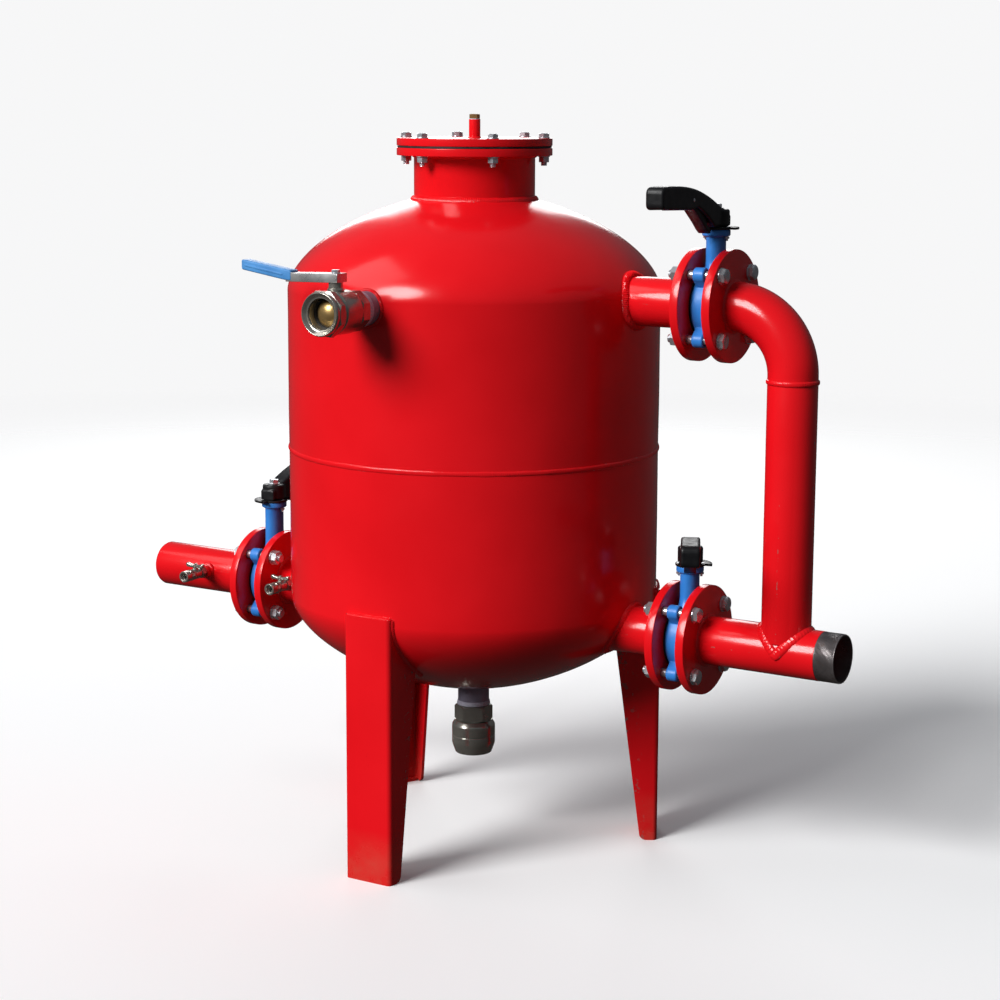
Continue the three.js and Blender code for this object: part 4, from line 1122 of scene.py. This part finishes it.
def build_flush_valve():
    where = pose((TANK_X, TANK_Y, FLUSH_Z), (0, -1, 0), (0, 0, 1))
    nipple = tube(SMALL_PIPE_RADIUS, SMALL_PIPE_BORE, 322, FLUSH_BACK - 0.3)
    piece("flush_nipple_pipe", nipple, SKY_TINTED_ZINC, "flush_nipple", matrix=where)
    points = []
    for a in full_turn(160):
        x = (SMALL_PIPE_RADIUS + 1.2) * math.cos(a)
        z = (SMALL_PIPE_RADIUS + 1.2) * math.sin(a) + FLUSH_Z
        points.append((x, -math.sqrt(shell_radius(z) ** 2 - x * x), z))

    def outward(p):
        around = unit((p - np.array([0, 0, FLUSH_Z])) * np.array([1, 0, 1]))
        return around + np.array([0, -1, 0])
    piece("flush_nipple_weld", weld_bead(points, outward, 8, 4, seed=51), RED, matrix=TANK)
    tape = revolve([(30, FLUSH_BACK - 16), (31.6, FLUSH_BACK - 15), (32.6, FLUSH_BACK - 0.4),
                    (30, FLUSH_BACK - 0.2)], 72, 0.4)
    piece("flush_thread_tape", tape, TAPE, matrix=where)

    body = hexagon(70, FLUSH_BACK, 409, bore=27, sides=8)
    barrel = [(27, 408), (35.5, 408), (39, 414.5), (39, 457), (37, 460), (37, 466.5), (27, 466.5)]
    body += revolve(barrel, 112, 1.6)
    body += hexagon(77.5, 464, 480.5, bore=27, sides=8)
    lip = [(28.6, 479), (38, 479), (38.6, 481.5), (38.6, 487), (37.2, FLUSH_FRONT), (36, FLUSH_FRONT),
           (30.5, 484.5), (28.6, 484)]
    body += revolve(lip, 112, 0.5)
    body += inner_thread(27.6, PIPE_PITCH, 468, 484, 29)
    upward = pose((0, 0, BALL_AT), (1, 0, 0))
    body += (rod(12.5, 30, FLUSH_LEVER_RISE + 4.5, 56, 1.2) + rod(15, 36, 42, 56, 2)).placed(upward)
    body += rod(4.5, -42, -36, 24).placed(pose((0, 0, BALL_AT + 14), (1, 0, 0)))
    piece("flush_valve_casting", body, NICKEL, "flush_valve_body", matrix=where)

    arc = np.linspace(-0.9, 0.9, 28)
    ball = revolve([(20, -26)] + [(32.2 * math.cos(a), 32.2 * math.sin(a)) for a in arc] + [(20, 26)], 72)
    stem = rod(6, 28, FLUSH_LEVER_RISE + 15, 32).placed(upward)
    ball = ball.placed(pose((0, 0, BALL_AT), (0, 1, 0)))
    piece("flush_ball_and_stem", ball + stem, BRASS, "flush_valve_ball", "flush_handle", matrix=where)
    # The PTFE seat ring gets the black rubber finish: painted shade inside the valve's mouth.
    seat_ring = revolve([(23.5, 461), (27, 461), (27, 466), (25.5, 466)], 72, 0.6)
    piece("flush_ball_seat", seat_ring, RUBBER, matrix=where)
    build_flush_lever()


def tapered(points):
    """Narrows the lever from its hub to its sleeve."""
    out = points.copy()
    out[:, 1] *= 1 - 0.27 * np.clip((points[:, 0] - 14) / 70, 0, 1)
    return out


def build_flush_lever():
    """Pressed steel channel over the bonnet, with a dipped sleeve; it reaches out to -X."""
    place = shift(TANK_X, TANK_Y - BALL_AT, FLUSH_Z + FLUSH_LEVER_RISE)
    where = turned_by(place, math.pi)
    stations = (-13, -12, -4, 10, 30, 50, 70, 84, 100)
    top = [10.5 - max(0, x - 10) * 2.5 / 74 + max(0, x - 84) * 2 / 16 for x in stations]
    foot = [-5 - (x + 13) * 3 / 113 for x in stations]
    side = list(zip(stations, foot)) + list(zip(stations, top))[::-1]
    hollow = [(max(x, -11), -20) for x in stations]
    hollow += [(max(x, -11), z - 2.2) for x, z in list(zip(stations, top))[::-1]]
    hollow = [p for i, p in enumerate(hollow) if p not in hollow[:i]]
    channel = plate(side, FLUSH_LEVER_WIDTH, 1.6, 3)
    inside = plate(hollow, FLUSH_LEVER_WIDTH - 4.4, 0)
    inside = inside.bent(lambda p: p + (p[:, :1] > 99) * np.array([4, 0, 0]))
    hole = rod(6.3, -9, 30, 32)
    lever = boolean(channel, [inside, hole]).bent(tapered)
    piece("flush_lever_channel", lever, STEEL, "flush_valve_lever", "flush_handle", matrix=where)
    outline = rounded([(88, -6), (104, -5), (196, 9), (196, 27), (104, 14), (88, 12)], 4)
    sleeve = plate(outline, 24, 3.6, 4)
    rib = plate(rounded([(106, 2.6), (188, 15), (188, 19), (106, 6.6)], 1.5), 26, 0.9)
    piece("flush_lever_sleeve", sleeve + rib, SLEEVE, (), "flush_handle", matrix=where)
    nut = hexagon(13, 11.4, 16.2, chamfers=(False, True)) + washer(9, 5, 10.6, 1)
    piece("flush_stem_nut", nut, ZINC, (), "flush_handle", matrix=where)


# ---- drain coupling and gauge cocks
def build_drain():
    foot, top = (corner[2] for corner in span("drain_coupling"))
    bore = SMALL_PIPE_BORE
    hex_foot = top - 32
    barrel = [(bore + 3, 0), (34, 0), (35.4, 1), (41, 17), (41.8, 21), (41.8, 34), (41, 34.6), (41, 36.4),
              (41.8, 37)]
    shoulder = [(41.8, -9), (40.6, -6), (37.5, -1), (36, 1), (bore, 1)]
    profile = [(r, foot + z) for r, z in barrel] + [(r, hex_foot + z) for r, z in shoulder]
    body = revolve(profile + [(bore, foot + 14), (bore + 3, foot + 12)], 112, 0.7)
    body += hexagon(64, hex_foot, top, bore=bore)
    body += inner_thread(bore + 1.2, PIPE_PITCH, foot + 0.8, foot + 12, bore + 3.2)
    piece("drain_coupling_body", body, NICKEL, "drain_coupling", matrix=TANK)
    tape = revolve([(30, top), (32.4, top + 1), (31.6, top + 7), (30, top + 9)], 64, 0.6)
    piece("drain_thread_tape", tape, TAPE, matrix=TANK)


def build_cock(name):
    """Gauge cock, local +Z out of the pipe and local +X up, shut with its wings across the flow."""
    centre = middle(f"{name}_body")
    where = pose((centre[0], TANK_Y - PIPE_RADIUS, LOWER_Z + COCK_DROP), (0, -1, 0), (0, 0, 1))
    body = thread(8, 1.8, 4, 16, segments=40, bore=5.5) + hexagon(21, 14.4, 27, bore=5.5)
    body += revolve([(5.5, 26), (9, 26), (10.8, 30), (10.8, 47), (9, 52), (5.5, 52)], 56, 1)
    body += hexagon(20.5, 51, 61, bore=5.5)
    socket = [(7.6, 60), (10.8, 60), (11.6, 64), (11.6, COCK_LENGTH - 1), (10.8, COCK_LENGTH),
              (8.4, COCK_LENGTH), (7.6, COCK_LENGTH - 1)]
    body += revolve(socket, 56, 0.4)
    body += inner_thread(7.1, 1.3, 61, COCK_LENGTH - 1.5, 8)
    upward = pose((0, 0, COCK_BALL_AT), (1, 0, 0))
    body += (rod(6.5, 8, 11, 36) + hexagon(10.5, 10.4, 12.6)).placed(upward)
    piece(f"{name}_casting", body, NICKEL, f"{name}_body", matrix=where)
    arc = np.linspace(-0.95, 0.95, 14)
    ball = revolve([(3.5, -6)] + [(7.3 * math.cos(a), 7.3 * math.sin(a)) for a in arc] + [(3.5, 6)], 40)
    tip = [(16, 0), (20.5, 0.6), (22.5, 4), (22, 8), (18, 9.4)]
    arch = [(x, 5.6 + 3.4 * (abs(x) / 18) ** 2) for x in (13, 8, 3, -3, -8, -13)]
    outline = [(-20.5, 0.6), (-16, 0), (-8, 0), (8, 0), *tip, *arch, (-18, 9.4), (-22, 8), (-22.5, 4)]
    wing = plate(rounded(outline, 2.5), 8.4, 2.4, 3).placed(shift(0, 0, COCK_WING_RISE))
    wing = wing.placed(pose((0, 0, COCK_BALL_AT), (1, 0, 0), (0, 1, 0)))
    knob = rod(3, 6, COCK_WING_RISE + 6, 24) + rod(5.6, COCK_WING_RISE, COCK_WING_RISE + 6.6, 32, 1)
    knob += hexagon(6, COCK_WING_RISE + 6.4, COCK_WING_RISE + 8.6, chamfers=(False, True))
    handle = ball.placed(pose((0, 0, COCK_BALL_AT), (0, 1, 0))) + wing + knob.placed(upward)
    piece(f"{name}_wing_handle", handle, NICKEL, f"{name}_wing", f"{name}_handle", matrix=where)


# ---- stage
PALE = (0.93, 0.93, 0.935, 1)
FLOOR_REACH = 7                     # metres; the floor fades into the backdrop before this
SKY_GLOW = (0.125, 0.135, 0.15, 1)
GROUND_GLOW = (0.045, 0.04, 0.038, 1)


def plain_world():
    """Cool light from above fading to little from below; the backdrop is as pale as the floor."""
    world = bpy.data.worlds.new("studio")
    bpy.context.scene.world = world
    world.use_nodes = True
    tree = world.node_tree
    way = new_node(tree, "TexCoord").outputs["Generated"]
    height = new_node(tree, "SeparateXYZ", Vector=way).outputs["Z"]
    lift = new_node(tree, "MapRange", Value=height, From_Min=-1)
    ramp = new_node(tree, "ValToRGB", Fac=lift.outputs[0])
    for element, place, colour in zip(ramp.color_ramp.elements, (0.35, 0.75), (GROUND_GLOW, SKY_GLOW)):
        element.position = place
        element.color = colour
    light = tree.nodes["Background"]
    tree.links.new(ramp.outputs[0], light.inputs["Color"])
    backdrop = new_node(tree, "Background", Color=PALE)
    pick = new_node(tree, "MixShader", Fac=new_node(tree, "LightPath").outputs["Is Camera Ray"])
    tree.links.new(light.outputs[0], pick.inputs[1])
    tree.links.new(backdrop.outputs[0], pick.inputs[2])
    tree.links.new(pick.outputs[0], tree.nodes["World Output"].inputs["Surface"])


def add_light(kind, name, place, power, size, shine):
    light = bpy.data.lights.new(name, kind)
    light.energy = power
    light.specular_factor = shine
    if kind == "SUN":
        light.angle = math.radians(size)
    else:
        light.size = size
    lamp = shown(name, light)
    lamp.location = place
    aim = Vector((0, 0, 0.7)) - Vector(place)
    lamp.rotation_euler = aim.to_track_quat("-Z", "Y").to_euler()


def build_stage():
    bpy.ops.mesh.primitive_plane_add(size=60)
    floor = bpy.context.object
    floor.name = "studio_floor"
    pale = bpy.data.materials.new("studio_floor")
    pale.use_nodes = True
    tree = pale.node_tree
    shader = tree.nodes["Principled BSDF"]
    shader.inputs["Base Color"].default_value = (0.97, 0.97, 0.97, 1)
    shader.inputs["Roughness"].default_value = 0.9
    shader.inputs["Specular IOR Level"].default_value = 0
    floor.data.materials.append(pale)
    place = new_node(tree, "TexCoord").outputs["Object"]
    spread = new_node(tree, "Mapping", Vector=place, Scale=(1 / FLOOR_REACH,) * 3)
    fade = new_node(tree, "TexGradient", Vector=spread.outputs[0])
    fade.gradient_type = "SPHERICAL"
    reach = new_node(tree, "MapRange", Value=fade.outputs["Fac"], From_Max=0.75)
    tree.links.new(reach.outputs[0], shader.inputs["Alpha"])
    floor.visible_diffuse = False
    floor.visible_glossy = False
    plain_world()
    add_light("SUN", "key", (-1.45, -4.2, 3.4), 3.8, 28, 0.45)
    add_light("AREA", "top", (-2.6, -1.6, 4.2), 34, 2.4, 0.3)
    add_light("AREA", "back", (-3.0, 4.6, 2.8), 90, 2.6, 0.2)
    bpy.context.scene.view_settings.view_transform = "Standard"


# The camera stands 4.2 m away, in front and to the right, a little above the hatch.
CAMERA_PLACE = (2.2701, -3.4785, 1.411)
CAMERA_AZIMUTH = 31.96
CAMERA_PITCH = 10.145
CAMERA_ROLL = 0.2255
CAMERA_LENS = 80.57


def build_camera():
    camera = bpy.data.cameras.new("camera")
    camera.lens = CAMERA_LENS
    camera.sensor_width = 36
    obj = shown("camera", camera)
    turns = ((CAMERA_AZIMUTH, "Z"), (90 - CAMERA_PITCH, "X"), (CAMERA_ROLL, "Z"))
    matrix = Matrix.Translation(CAMERA_PLACE)
    for angle, axis in turns:
        matrix = matrix @ Matrix.Rotation(math.radians(angle), 4, axis)
    obj.matrix_world = matrix
    bpy.context.scene.camera = obj


build_camera()
build_stage()
build_shells()
build_legs()
build_hatch()
build_nozzles()
build_riser()
build_inlet_pipe()
build_outlet_pipe()
build_flange_bolts()
build_butterfly_valves()
build_flush_valve()
build_drain()
for cock in ("stub_cock", "outlet_cock"):
    build_cock(cock)
for inner in ("inlet_diffuser", "underdrain"):
    frame["nodes"][inner].data.materials.clear()
    frame["nodes"][inner].data.materials.append(STEEL.material)
